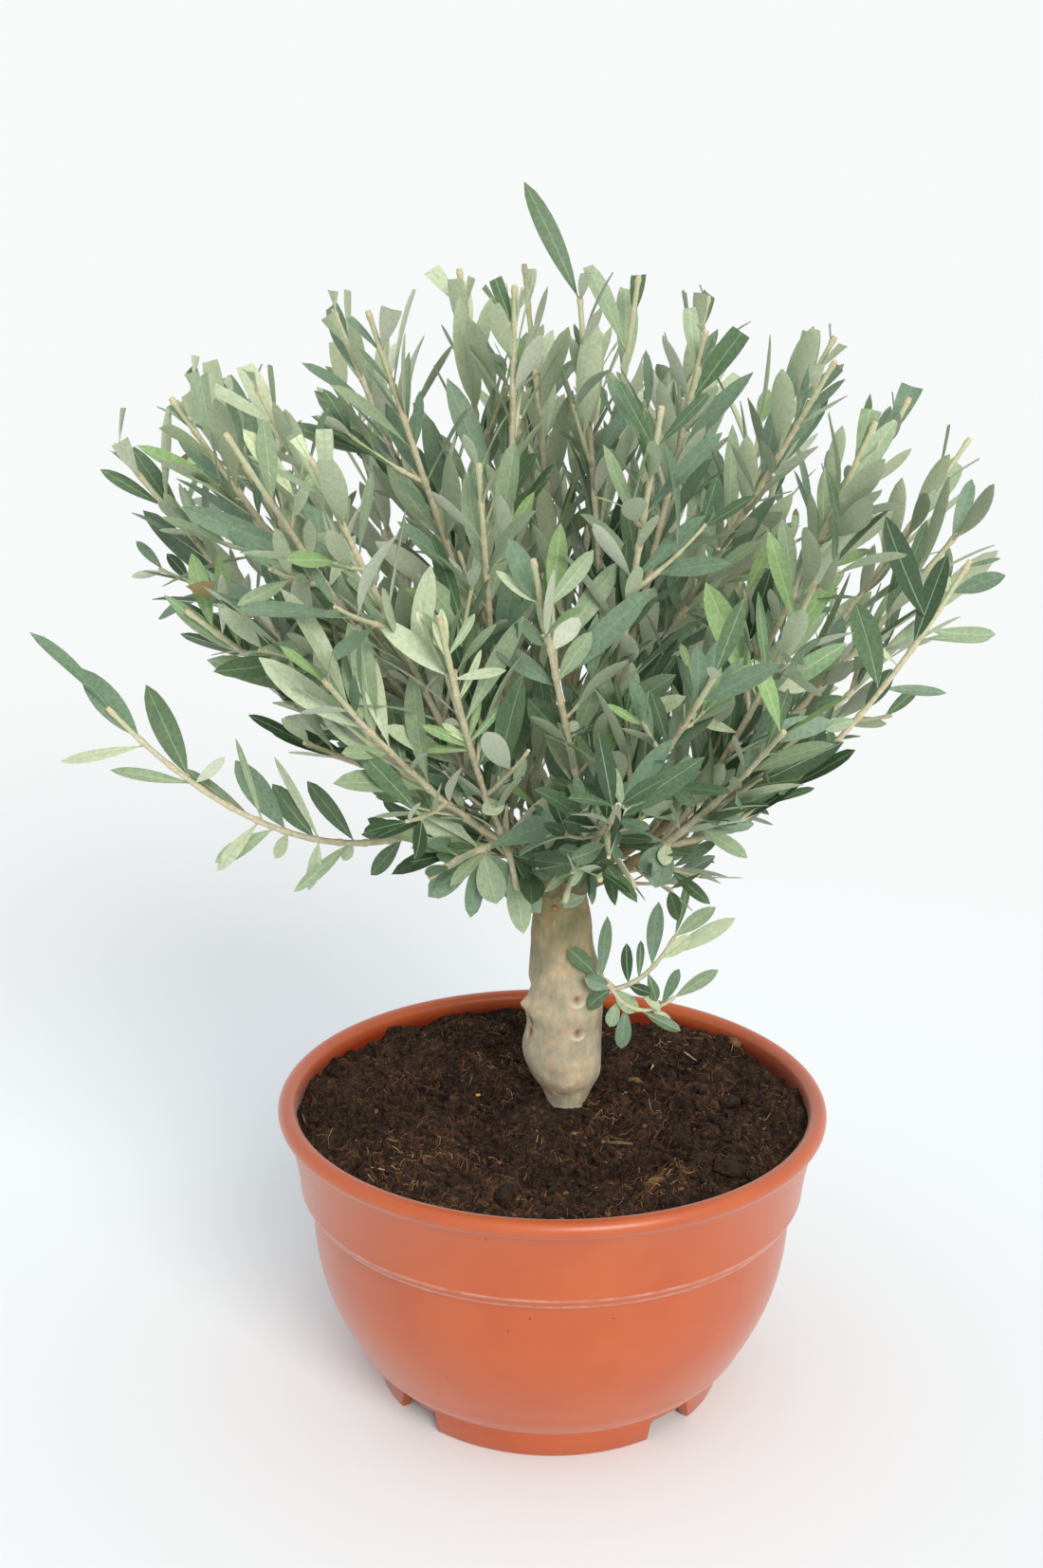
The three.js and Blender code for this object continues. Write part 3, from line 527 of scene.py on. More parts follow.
# Fibres are fine three-sided tubes that lie in arcs on the soil: a heading plus a steady turn, with
# the ends a little lifted. Some are gathered into tufts.
def makeFibres():
    x, y, rng = strewn(soil["fibres"], 8, 20)
    count, rows = len(x), 8
    inTuft = np.zeros(count, bool)
    for middleX, middleY, around, number in soil["tufts"]:
        picked = np.flatnonzero(~inTuft)[:number]
        x[picked] = middleX + around * rng.normal(size=number)
        y[picked] = middleY + around * rng.normal(size=number)
        inTuft[picked] = True
    length = rng.uniform(*soil["fibreLength"], count) * rng.uniform(0.4, 1, count)
    run = np.linspace(-0.5, 0.5, rows)[None] * length[:, None]
    heading = rng.uniform(0, 2 * np.pi, count)[:, None] + rng.uniform(-0.09, 0.09, count)[:, None] * run
    px, py = x[:, None] + run * np.cos(heading), y[:, None] + run * np.sin(heading)
    inward = np.minimum(1, (soil["edge"] - 1.5) / np.maximum(np.hypot(px, py), 1))
    px, py = px * inward, py * inward
    lift = 0.35 + np.abs(rng.uniform(0, 0.22, count)[:, None] * run) * rng.uniform(0, 1, (count, 1))
    centre = np.stack([px, py, soilHeight(px, py) + lift], -1)
    along = unit(np.gradient(centre, axis=1))
    across = unit(np.cross(along, up))
    radius = soil["fibreRadius"] * rng.uniform(0.7, 1.9, count)[:, None, None, None]
    turn = 2 * np.pi * np.arange(3)[:, None] / 3
    ring = across[:, :, None] * np.cos(turn) + np.cross(along, across)[:, :, None] * np.sin(turn)
    points, faces = skinsOf(centre[:, :, None] + radius * ring)
    isStraw = rng.uniform(0, 1, count) < np.where(inTuft, soil["strawShare"][1], soil["strawShare"][0])
    finish = np.concatenate([np.repeat(isStraw, 3 * (rows - 1)), np.repeat(isStraw, 2)]).astype(int)
    addPiece("soil_fibres", points, faces, [coir, straw], ["soil"], finish, 80)


makeSoil()
makeCrumbs()
makeFibres()


trunk = {
    "y": 11, "depth": 0.94, "foot": 131.3, "sunk": -1.2, "columns": 180, "rows": 250,
    # height above the soil, middle along X, half width
    "rings": [[0, 7, 8.5], [6, 7.2, 11], [15, 6.2, 16.2], [24, 4.8, 18.2], [33, 5, 17.9], [41, 5.4, 17.8],
              [49, 5.1, 18.3], [55, 5.9, 17.3], [65, 5.4, 16.5], [75, 4.5, 15.1], [86, 3.8, 14.4],
              [97, 3.6, 12.8], [108, 3.5, 11.6], [117, 3.2, 12.4], [123, 3, 10.4], [126, 3, 6.5]],
    # pruning scars at (azimuth, height): a small brown pit over a raised pale crescent, each with its
    # width as a share of scarSize and its depth or height
    "scars": [[-73, 57.8], [-70, 41.5]], "scarSize": 3.4, "scarPit": [0.46, 1.1], "scarLip": [0.3, 0.8],
    # azimuth, height, half width round, half height and depth inwards; a narrow deep hollow is brown
    "hollows": [[-150, 44, 1.4, 2.6, 1.7], [-153, 38.5, 1.8, 1.8, 1.4], [-178, 58, 5, 3, 1.4],
                [-95, 6, 5, 4.5, 1.0], [-60, 9, 3, 3, 0.8]],
    "lumps": [[-172, 51, 3.2, 2.6, -2.6], [-168, 31, 7, 6, -1.2], [-72, 50, 9, 12, -0.6],
              [-10, 64, 4, 3, -1.6], [-120, 60, 8, 8, -0.7], [-100, 100, 4, 4, -1.2],
              [-40, 24, 8, 8, -0.8]],
    "lumpiness": 0.55, "lumpSize": 13, "grain": 0.14, "grainSize": 2.4,
}


# Radius at (angle, height): the half width, with smooth lumps and hollows exp(-d^2) and bark noise. A scar
# is a ragged pit exp(-d^2) with a lip exp(-(d - 1)^2) that lies below its middle.
def makeTrunk():
    angle = 2 * np.pi * np.arange(trunk["columns"]) / trunk["columns"]
    height = np.linspace(trunk["sunk"], trunk["rings"][-1][0], trunk["rows"])
    levels, middles, halves = np.array(trunk["rings"]).T
    middle = smoothThrough(np.maximum(height, 0), levels, middles)[:, None]
    half = smoothThrough(np.maximum(height, 0), levels, halves)[:, None]
    a, h = np.meshgrid(angle, height)
    cylinder = np.stack([15 * np.cos(a), 15 * np.sin(a), h], -1)
    radius = half + trunk["lumpiness"] * roughness(cylinder, trunk["lumpSize"], 2, 1)
    radius = radius + trunk["grain"] * roughness(cylinder * [1, 1, 0.5], trunk["grainSize"], 3, 5)

    def awayFrom(azimuth, level):
        turn = (np.degrees(a) - azimuth + 180) % 360 - 180
        return np.radians(turn) * half, h - level

    pit, rim = np.zeros_like(a), np.zeros_like(a)
    for azimuth, level, wide, high, depth in trunk["hollows"] + trunk["lumps"]:
        dx, dz = awayFrom(azimuth, level)
        spot = np.exp(-((dx / wide) ** 2) - (dz / high) ** 2)
        radius = radius - depth * spot
        if depth > 1.3 and wide < 3:
            pit = np.maximum(pit, spot)
    size = trunk["scarSize"]
    (pitWidth, pitDepth), (lipWidth, lipHeight) = trunk["scarPit"], trunk["scarLip"]
    for azimuth, level in trunk["scars"]:
        dx, dz = awayFrom(azimuth, level)
        away = np.hypot(dx, dz)
        below = np.clip(-dz / np.maximum(away, 0.3), 0, 1)
        lip = np.exp(-(((away - size) / (lipWidth * size)) ** 2)) * below
        ragged = 1 + 0.35 * noise(cylinder, 1.4, 21)
        spot = np.exp(-((away / (pitWidth * size * ragged)) ** 2))
        radius = radius + lipHeight * lip - pitDepth * spot
        pit, rim = np.maximum(pit, 0.9 * spot), np.maximum(rim, 0.6 * lip)
    grid = np.stack([middle + radius * np.cos(a), trunk["y"] + radius * trunk["depth"] * np.sin(a),
                     trunk["foot"] + h], -1)
    points, faces = skinOf(grid)
    marks = {"pit": np.append(pit, [0, 0]), "rim": np.append(rim, [0, 0])}
    addPiece("trunk_bark", points, faces, [bark], ["trunk"], sharpAngle=70, marks=marks)


makeTrunk()

head = np.array([3.0, 11.0, 248.0])  # the crown is measured from the head of the trunk
crown = {
    "clip": 274, "clipMiddle": [-5, 11, 245], "clipRise": 40, "shortestCut": 0.3, "topReach": 264,
    "halfWidth": 172, "halfDepth": 152, "low": [-210.5, -178], "high": [203.5, 178.3],
    # the underside: its lowest height at the back, in front, at the sides and inside, and how it rises
    "skirt": 232, "frontSkirt": 240, "sideSkirt": 244, "innerSkirt": 250,
    "skirtRadius": 50, "skirtSlope": 0.55, "steepSkirt": 0.88,
    # shoots that the shears cut: those steeper than cutRise and longer than cutReach
    "cutRise": 44, "cutReach": 228, "cutDepth": 9,
}
limb = {"radius": [3.5, 2.5], "lowRadius": [2.7, 2.1], "inTrunk": 3, "sag": 4, "stem": 14, "collar": 0.45,
        "uneven": 0.12, "rows": 60}

# Each bough: the height where it leaves the trunk, the azimuth, rise and reach of its tip from the head,
# the middle direction of its mass, and its leading shoots as azimuth, rise, reach and sag of the tip.
boughs = [
    {"name": "left", "foot": 240, "tip": [178, 32, 60], "mass": [172, 42], "steep": True,
     "shoots": [[184, 45, 252, 14], [164, 52, 262, 8], [160, 37, 226, 14], [181, 54, 264, 2],
                [163, 29, 190, 12]]},
    {"name": "left_front", "foot": 244, "tip": [210, 42, 60], "mass": [210, 46],
     "shoots": [[203, 38, 215, 8], [219, 51, 268, 4], [212, 57, 260, 0], [198, 52, 266, 6],
                [219, 31, 160, 8]]},
    {"name": "front_left", "foot": 238, "tip": [247, 24, 62], "mass": [244, 42], "low": True,
     "shoots": [[249, 46, 200, 24], [251, 61, 226, 8], [236, 36, 205, 12], [236, 50, 238, 6],
                [239, 14, 112, -4], [256, 12, 84, -5]]},
    {"name": "front", "foot": 245, "tip": [282, 30, 56], "mass": [280, 42], "low": True,
     "shoots": [[264, 50, 218, 6], [283, 58, 238, 4], [290, 39, 200, 12], [276, 26, 184, 8],
                [270, 8, 78, -6], [291, 12, 84, -6], [278, 16, 104, 4]]},
    {"name": "front_right", "foot": 239, "tip": [310, 21, 62], "mass": [318, 40], "steep": True,
     "shoots": [[311, 47, 210, 20], [336, 41.5, 236, 54], [317, 54, 242, 8], [306, 34, 172, 6],
                [316, 31, 132, 0]]},
    {"name": "right", "foot": 243, "tip": [356, 27, 60], "mass": [358, 42], "steep": True, "spacing": 19,
     "open": True, "shoots": [[5, 37, 219, 24], [8, 47, 244, 12], [347, 44, 232, 12], [356, 56, 243, 4],
                              [350, 33, 126, 6]]},
    {"name": "right_back", "foot": 238, "tip": [34, 28, 58], "mass": [34, 41], "fan": 4, "spacing": 18,
     "open": True},
    {"name": "back_right", "foot": 245, "tip": [68, 32, 58], "mass": [68, 41], "fan": 4, "spacing": 17},
    {"name": "back", "foot": 239, "tip": [102, 28, 58], "mass": [102, 41], "fan": 5},
    {"name": "back_left", "foot": 244, "tip": [137, 32, 60], "mass": [137, 41], "fan": 4, "spacing": 16.5},
    {"name": "top_left", "foot": 250, "tip": [195, 70, 66], "mass": [195, 73],
     "shoots": [[192, 80, 268, 0], [176, 68, 270, 4], [218, 68, 264, 4], [248, 77, 250, 0]]},
    {"name": "top_right", "foot": 250, "tip": [330, 70, 66], "mass": [330, 73],
     "shoots": [[300, 88, 256, 0], [0, 77, 252, 0], [352, 65, 248, 4], [303, 69, 244, 2],
                [326, 62, 246, 4]]},
    {"name": "top_back", "foot": 250, "tip": [80, 70, 66], "mass": [80, 73], "fan": 4},
    {"name": "low_left", "foot": 228, "tip": [205, 18, 60], "mass": [204, 16], "hangs": True, "spacing": 19,
     "shoots": [[203.5, 25, 225, 50]]},
]
fan = {"across": 9, "upright": 14, "golden": 137.5, "sag": 10, "low": [12, 105, -4]}


def fromHead(azimuth, rise, reach):
    return head + reach * direction(azimuth, rise)


# A bent line through start, middle and end: (1-t)^2 a + 2t(1-t) b + t^2 c, and its unit heading.
def curveAt(path, t):
    a, b, c = path
    t = np.atleast_1d(t)[:, None]
    point = (1 - t) ** 2 * a + 2 * t * (1 - t) * b + t**2 * c
    return point, unit(2 * (1 - t) * (b - a) + 2 * t * (c - b))


def sagging(start, end, sag):
    return start, (start + end) / 2 - sag * up, end


def boughPath(bough):
    foot = np.array([*head[:2], bough["foot"]]) + limb["inTrunk"] * direction(bough["tip"][0], 0)
    return sagging(foot, fromHead(*bough["tip"]), limb["sag"])


def lengthOf(path):
    return np.linalg.norm(np.diff(curveAt(path, np.linspace(0, 1, 9))[0], axis=0), axis=1).sum()


# Two directions square to a path at each of its points, carried along without a twist.
def framesOf(path, along):
    a, b, c = path
    side = np.cross(b - a, c - a)
    if np.linalg.norm(side) < 1e-3:
        side = np.cross(c - a, up if abs(unit(c - a)[2]) < 0.9 else np.array([1.0, 0, 0]))
    normal = unit(np.cross(along, side))
    return normal, np.cross(along, normal)


# A limb: rings of radius r(t) square to the path, r from base to tip, swollen by exp(-d^2) at its nodes.
def tubeGrid(path, rows, columns, base, tip, nodes=(), swell=0.3, swellWidth=1.6):
    t = np.linspace(0, 1, rows)
    point, along = curveAt(path, t)
    normal, binormal = framesOf(path, along)
    length = lengthOf(path)
    bump = sum((np.exp(-(((t - node) * length / swellWidth) ** 2)) for node in nodes), 0 * t)
    radius = (base + (tip - base) * t) * (1 + swell * np.minimum(bump, 1))
    turn = 2 * np.pi * np.arange(columns) / columns
    ring = normal[:, None] * np.cos(turn)[:, None] + binormal[:, None] * np.sin(turn)[:, None]
    return point[:, None] + radius[:, None, None] * ring


# Boughs thicken into a collar where they leave the trunk, and their bark is uneven.
def makeBoughs():
    skins = []
    for bough in boughs:
        base, tip = limb["lowRadius" if bough.get("hangs") else "radius"]
        path = boughPath(bough)
        grid = tubeGrid(path, limb["rows"], 20, base, tip, [0.0, 0.1], limb["collar"], 12)
        centre = curveAt(path, np.linspace(0, 1, limb["rows"]))[0][:, None]
        grid = centre + (grid - centre) * (1 + limb["uneven"] * roughness(grid, 5, 3, 2))[..., None]
        points, faces = skinOf(grid)
        skins.append((points, faces, [0, 0]))
    points, faces, finish = joined(skins)
    nodes = [f"bough_{bough['name']}" for bough in boughs]
    zeros = np.zeros(len(points))
    addPiece("boughs_bark", points, faces, [bark], nodes, finish, 70, {"pit": zeros, "rim": zeros})


makeBoughs()


# Radii at the foot and the tip of each kind of twig. Bark turns green near the tip, from greenFrom. The
# second of greenFrom and columns is for side shoots.
twig = {
    "stem": [2.3, 1.9], "leader": [1.75, 1.1], "plain": [1.55, 1.05], "side": [1.25, 0.75],
    "fine": [0.9, 0.55], "rowLength": 2.2, "greenFrom": [0.86, 0.35],
    "nodeHalf": 1.2, "swell": 0.32, "swellWidth": 1.3, "columns": [8, 6], "fewestRows": 8,
}
sideShoot = {"at": [0.36, 0.62], "length": 0.4, "angle": 38, "sag": 3, "shortestParent": 120,
             "finerAt": [0.27, 0.49, 0.76], "finerLength": 0.24}
leaf = {
    "length": 46, "width": 9.2, "spacing": 14.2, "fewest": 2, "firstNode": 0.05, "sunk": 0.5,
    "petiole": 3.6, "sizes": [0.44, 1.16], "skew": 1.2, "smallerWhenNew": 0.4, "thickness": 0.5,
    "sections": 9, "angle": 33, "angleSpread": 30, "twist": 2.2,
    "lift": 0.2, "faceUp": 0.45, "faceOut": 1.0,  # how far leaves turn and face up towards the light
    # size and spread of each try at a leaf that would leave its space
    "tries": [[1, 1], [0.9, 1.4], [0.8, 0.6], [0.66, 0.9], [0.55, 0.5]],
    # short low shoots carry larger leaves, closer together and hanging
    "lowShoot": 84, "lowSpacing": 0.62, "lowLift": -0.15, "lowBulk": 1.1,
}
# leaves at the very ends of two shoots: the one the shears missed, and the furthest one to the left
endLeaves = {
    "top_right": {"shoot": 0, "azimuth": 180, "rise": 66, "length": 54, "width": 9,
                  "face": [0.2, -1, 0.2]},
    "low_left": {"shoot": 0, "azimuth": 206, "rise": 58, "length": 46, "width": 6,
                 "face": [0.7, -0.5, 0.5]},
}
# Shoots that stand out in front, with the leaves they carry past bareFrom: place along the shoot, tip
# (x, z), width and tone.
ledShoots = [
    {"bough": "low_left", "shoot": 0, "bareFrom": 0.08, "plain": True, "leaves": [
        [0.90, -193, 359, 10.9, "blue"], [0.89, -208, 317, 4.6, "sage"], [0.76, -171, 349, 10.2, "dark"],
        [0.75, -189, 312, 5.3, "grey"], [0.75, -137, 319, 4.4, "silver"], [0.57, -158, 310, 5.4, "dark"],
        [0.54, -134, 324, 2.6, "grey"], [0.46, -135, 315, 10.5, "blue"], [0.37, -123, 300, 9.1, "dark"],
        [0.55, -147, 266, 5.9, "sage"], [0.50, -147, 270, 7.1, "grey"], [0.46, -120, 272, 5.3, "silver"],
        [0.36, -118, 315, 3.6, "sage"], [0.24, -108, 300, 7.3, "dark"], [0.36, -107, 251, 6.3, "sage"],
        [0.26, -113, 253, 5.3, "grey"], [0.25, -93, 265, 4.8, "silver"], [0.08, -83, 253, 7.6, "dark"],
        [0.07, -83, 281, 6.4, "dark"],
    ]},
    {"bough": "front_right", "shoot": 1, "bareFrom": 0.44, "plain": True, "leaves": [
        [0.88, 125, 421, 10.6, "deep"], [0.87, 178, 371, 6.2, "grey"], [0.94, 177, 400, 7.1, "blue"],
        [0.94, 154, 399, 4.7, "sage"], [1.0, 175, 406, 1.5, "blue"], [0.83, 154, 407, 8.4, "deep"],
        [0.79, 120, 377, 3, "sage"], [0.73, 122, 388, 11.2, "dark"], [0.68, 137, 358, 6.8, "deep"],
        [0.74, 159, 349, 4.2, "blue"], [0.66, 110, 333, 5.5, "grey"], [0.58, 112, 332, 3.8, "dark"],
        [0.48, 93, 303, 5.4, "dark"],
    ]},
    {"bough": "front_right", "shoot": 0, "bareFrom": 0.45, "leaves": [
        [0.67, 57, 397, 11.2, "young"], [0.73, 76, 394, 4.3, "fresh"], [0.81, 105, 405, 6.9, "young"],
        [0.76, 91, 382, 4.8, "tender"], [0.89, 79, 420, 6.6, "young"], [0.64, 111, 376, 8.5, "fresh"],
        [0.72, 98, 358, 5.8, "sage"], [0.55, 53, 342, 4.4, "sage"], [0.45, 73, 363, 7.5, "dark"],
        [0.51, 111, 342, 9.2, "blue"],
    ]},
    {"bough": "front_left", "shoot": 0, "bareFrom": 0.45, "leaves": [
        [0.89, -56, 391, 3.5, "tender"], [0.87, -48, 388, 2.5, "tender"], [0.9, -46, 393, 3, "tender"],
        [0.89, -33, 390, 3, "grey"], [0.82, -22, 369, 3.5, "sage"], [0.75, -30, 374, 2.4, "tender"],
        [0.82, -70, 388, 8.6, "sage"], [0.58, -54, 345, 3.9, "young"], [0.6, -46, 343, 3.1, "tender"],
        [0.61, -32, 352, 2.6, "young"], [0.6, -20, 352, 2.9, "fresh"], [0.49, -22, 342, 11, "dark"],
        [0.67, -17, 387, 7.2, "grey"], [0.57, -60, 332, 3.1, "young"],
    ]},
    {"bough": "front", "shoot": 0, "bareFrom": 0.4, "leaves": [
        [0.62, 32, 400, 9.5, "blue"], [0.72, 5, 389, 8.6, "silver"], [0.6, -26, 376, 8.3, "blue"],
        [0.86, -22, 421, 8.9, "blue"], [0.87, -26, 408, 4.5, "sage"], [0.41, -13, 349, 10.8, "dark"],
        [0.42, 46, 358, 10, "dark"], [0.44, 7, 341, 4.1, "silver"], [0.62, 10, 382, 7.1, "grey"],
        [0.85, 12, 415, 6.8, "grey"],
    ]},
    {"bough": "left_front", "shoot": 0, "bareFrom": 0.6, "leaves": [
        [0.91, -150, 403, 7.5, "young"], [0.82, -143, 401, 7, "young"], [0.79, -162, 385, 5, "fresh"],
        [0.78, -161, 379, 6, "silver"], [0.78, -156, 371, 4, "deep"], [0.88, -135, 399, 4, "silver"],
        [0.73, -129, 375, 5.1, "dark"], [0.63, -128, 377, 7.6, "blue"],
    ]},
    {"bough": "left_front", "shoot": 1, "bareFrom": 0.5, "leaves": [
        [0.7, -150, 425, 9.1, "blue"], [0.55, -103, 437, 8.9, "blue"], [0.68, -100, 422, 4.8, "silver"],
        [0.52, -88, 388, 7.4, "silver"], [0.61, -84, 414, 5.8, "sage"], [0.83, -114, 461, 7.1, "grey"],
    ]},
]
# The water shoot: a stem, two twigs and the leaves as foot (x, z), tip (x, z), width and tone. All lie
# near one upright plane in front of the trunk.
waterShoot = {
    "low": [24, -44, 158], "high": [88, 40, 238], "plane": -6.5, "lean": 7, "broader": 1.24,
    "radii": [[1.9, 1.5], [1.25, 0.8], [1.25, 0.8]], "stem": [[12, 4, 197], [18, -1, 203], [27, -6, 196]],
    "twigs": [[[26, -6, 196.6], [38, -8, 177], [56, -5, 191.5]],
              [[27, -6, 195.4], [43, -9, 199], [54.5, -10, 223]]],
    "leaves": [
        [23, 207, 23, 229, 5.3, "blue"], [20.5, 208, 8, 215.5, 6.2, "dark"],
        [26.5, 196, 14, 201, 5.7, "blue"], [26, 194, 14.5, 186, 5.3, "dark"],
        [30, 190, 25, 178.5, 4.8, "grey"], [32, 186, 31.6, 167.5, 6.6, "blue"],
        [26, 195, 37.5, 184, 6.2, "grey"], [35.5, 197, 31.5, 218.5, 4, "deep"],
        [40, 200, 40, 219, 2.6, "dark"], [46, 206, 44.8, 239.5, 5.7, "blue"],
        [54, 223, 61.5, 251, 2.8, "dark"], [55, 222, 70.7, 240, 5.3, "grey"],
        [49, 211, 62.4, 223.4, 4.8, "tender"], [51, 212, 82, 231, 5.7, "silver"],
        [36.8, 193, 44.3, 196, 4, "deep"], [45, 203, 48, 191.5, 4, "dark"],
        [41, 197, 48.5, 186, 3.6, "silver"], [50, 187, 57, 206, 4, "blue"],
        [55, 191, 74, 207, 4.9, "grey"], [46, 185, 54, 178.5, 4, "silver"],
        [40, 184.5, 58, 176, 4.2, "dark"],
    ],
    # a short spur on the front of the trunk, with an orange bud and two leaves
    "spur": {"at": [0.2, -0.5, 232.5], "radius": 1.7,
             "leaves": [[0.5, 233, 13.5, 240, 6.4, "grey"], [0.4, 231.5, 5, 216, 6.2, "sage"]]},
}


def crownReach(azimuth, rise):
    x, y = direction(azimuth, rise)[:2]
    return min(crown["topReach"], 1 / math.hypot(x / crown["halfWidth"], y / crown["halfDepth"]))


# How far from the head a direction d meets the sphere of the shears: with c from its middle to the head,
# r = -c.d + sqrt((c.d)^2 - c.c + R^2).
def reachToShears(way, radius):
    fromMiddle = head - np.array(crown["clipMiddle"])
    ahead = fromMiddle @ way
    return -ahead + math.sqrt(ahead**2 - fromMiddle @ fromMiddle + radius**2)


# The leading shoots of a mass without shoots of its own in the table: a fan about its middle.
def shootsOf(bough):
    if "shoots" in bough:
        return bough["shoots"]
    azimuth, rise = bough["mass"]
    number = boughs.index(bough)
    shoots = []
    for i in range(bough["fan"]):
        turn = math.radians(fan["golden"] * i + 60 * number)
        lean = rise + fan["upright"] * math.sin(turn)
        toSide = azimuth + fan["across"] * math.cos(turn) / math.cos(math.radians(lean))
        reach = crownReach(toSide, lean) * (0.93 + 0.07 * chance(number, i))
        shoots.append([toSide, lean, reach, fan["sag"]])
    return shoots + [[azimuth, *fan["low"]]] if bough["tip"][1] < 45 else shoots


# Distance of points inside the space of a mass, the part of the crown nearest to its middle direction.
def depthInSpace(points, bough):
    own = direction(*bough["mass"])
    across = np.array([unit(own - direction(*other["mass"])) for other in boughs if other is not bough])
    return ((points - head) @ across.T).min(axis=-1)


# True inside the sides and above the underside of the crown. A shoot that hangs may dip below it.
def inCrown(points, bough):
    out = np.maximum(0, np.hypot(points[..., 0] - head[0], points[..., 1] - head[1]) - crown["skirtRadius"])
    low, high = np.array(crown["low"]), np.array(crown["high"])
    within = ((points[..., :2] > low) & (points[..., :2] < high)).all(axis=-1)
    slope = 0 if bough.get("hangs") else crown["steepSkirt" if bough.get("steep") else "skirtSlope"]
    lowest = crown["frontSkirt" if bough.get("low") else "sideSkirt" if bough.get("steep") else "skirt"]
    return within & (points[..., 2] > lowest + slope * out)


limbLines = [(curveAt(boughPath(bough), np.linspace(0, 1, 9))[0], limb["radius"][0]) for bough in boughs]
limbLines.append((np.array([[x, trunk["y"], trunk["foot"] + h] for h, x, half in trunk["rings"]]),
                  max(ring[2] for ring in trunk["rings"])))


# True where points keep a margin from every limb: |p - (a + t(b - a))| with t held between 0 and 1.
def clearOfLimbs(points, margin):
    clear = np.ones(points.shape[:-1], bool)
    for line, radius in limbLines:
        for a, b in zip(line[:-1], line[1:]):
            t = np.clip(((points - a) @ (b - a)) / ((b - a) @ (b - a)), 0, 1)
            clear &= np.linalg.norm(points - a - t[..., None] * (b - a), axis=-1) > radius + margin
    return clear


# True for leaves and twigs, points (n, k, 3), that keep out of the space of the water shoot.
def outsideWaterShoot(points):
    low, high = np.array(waterShoot["low"]) - 1, np.array(waterShoot["high"]) + 1
    return ((points < low).all(axis=-2) | (points > high).all(axis=-2)).any(axis=-1)


# True for those that also keep to the space of their mass.
def keepsToSpace(points, bough, start, heading):
    inside = (inCrown(points, bough) & (depthInSpace(points, bough) > 0.3)).all(axis=-1)
    beyondTip = ((points - start) @ heading > 1).all(axis=-1)
    return inside & (beyondTip | clearOfLimbs(points, 1.5).all(axis=-1)) & outsideWaterShoot(points)


# True for leaves of the spurs that stay inside the crown and clear of the limbs.
def keepsNear(points):
    clear = clearOfLimbs(points[:, :3], 0.8).all(axis=-1)
    return (points[..., 2] > crown["innerSkirt"]).all(axis=-1) & clear & outsideWaterShoot(points)


# A side shoot at t along its parent, turned out from it and shorter towards the tip.
def sideShootOf(parent, t, k, share):
    point, along = curveAt(parent["path"], t)
    out = unit(np.cross(along, up))
    out = turned(out, along, np.array([2 * math.pi * chance(parent["seed"], k, 7)]))
    angle = math.radians(sideShoot["angle"])
    way = (along * math.cos(angle) + out * math.sin(angle))[0]
    end = point[0] + way * lengthOf(parent["path"]) * share * (1.1 - t)
    return sagging(point[0], end, sideShoot["sag"])


# Short leafy spurs on a bough, which fill the inside of the crown.
spurs = {"at": [0.42, 0.55, 0.68, 0.8, 0.93], "length": 34, "radius": [1.0, 0.7]}


def spursOf(bough):
    parent = {"path": boughPath(bough), "seed": 10 * boughs.index(bough) + 7}
    twigs = []
    for k, t in enumerate(spurs["at"]):
        share = spurs["length"] / (lengthOf(parent["path"]) * (1.1 - t))
        path = sideShootOf(parent, t, k, share)
        if path[2][2] > crown["innerSkirt"]:
            seed = parent["seed"] + 900 + 40 * k
            twigs.append({"path": path, "seed": seed, "radius": spurs["radius"], "order": 2})
    return twigs


# The leading shoots of a mass. The shears cut the steep long ones, and ledShoots says which are plain.
def leadersOf(bough, start, fork):
    number = boughs.index(bough)
    leaders = []
    for i, (azimuth, rise, reach, sag) in enumerate(shootsOf(bough)):
        root = start + (0.35 + 0.5 * (i + 1) / len(shootsOf(bough))) * (fork - start)
        isMissed = i == 0 and bough["name"] in endLeaves
        if rise > crown["cutRise"] and reach > crown["cutReach"] and not isMissed:
            cut = crown["clip"] - crown["cutDepth"] * chance(number, i, 6)
            reach = reachToShears(direction(azimuth, rise), cut)
        led = [row for row in ledShoots if row["bough"] == bough["name"] and row["shoot"] == i]
        plain = bool(led) and led[0].get("plain", False)
        leaders.append({"path": sagging(root, fromHead(azimuth, rise, reach), sag), "seed": 10 * number + i,
                        "radius": twig["plain" if plain else "leader"], "order": 0, "plain": plain,
                        "bareFrom": led[0]["bareFrom"] if led else 1})
    return leaders


# All twigs of a mass: leaders, the source's side shoots, and finer ones between them.
def twigsOf(bough):
    point, along = curveAt(boughPath(bough), 1.0)
    start, heading = point[0] + 0.3 * along[0], along[0]
    fork = start + limb["stem"] * heading
    leaders, sides = leadersOf(bough, start, fork), []
    places = [(t, k, sideShoot["length"], 1) for k, t in enumerate(sideShoot["at"])]
    if not (bough.get("hangs") or bough.get("open")) and bough["mass"][1] < 60:
        places += [(t, k + 2, sideShoot["finerLength"], 2) for k, t in enumerate(sideShoot["finerAt"])]
    for parent in leaders:
        if lengthOf(parent["path"]) < sideShoot["shortestParent"] or parent["plain"]:
            continue
        for t, k, share, order in places:
            path = sideShootOf(parent, t, k, share)
            checked = curveAt(path, np.array([0.35, 0.7, 1.0]))[0]
            isBeyond = np.linalg.norm(path[2] - crown["clipMiddle"]) > crown["clip"]
            if not isBeyond and keepsToSpace(checked[None], bough, start, heading)[0]:
                sides.append({"path": path, "seed": parent["seed"] + 500 * (k + 1), "order": order,
                              "radius": twig["side" if order == 1 else "fine"]})
    return leaders + sides, start, heading, fork


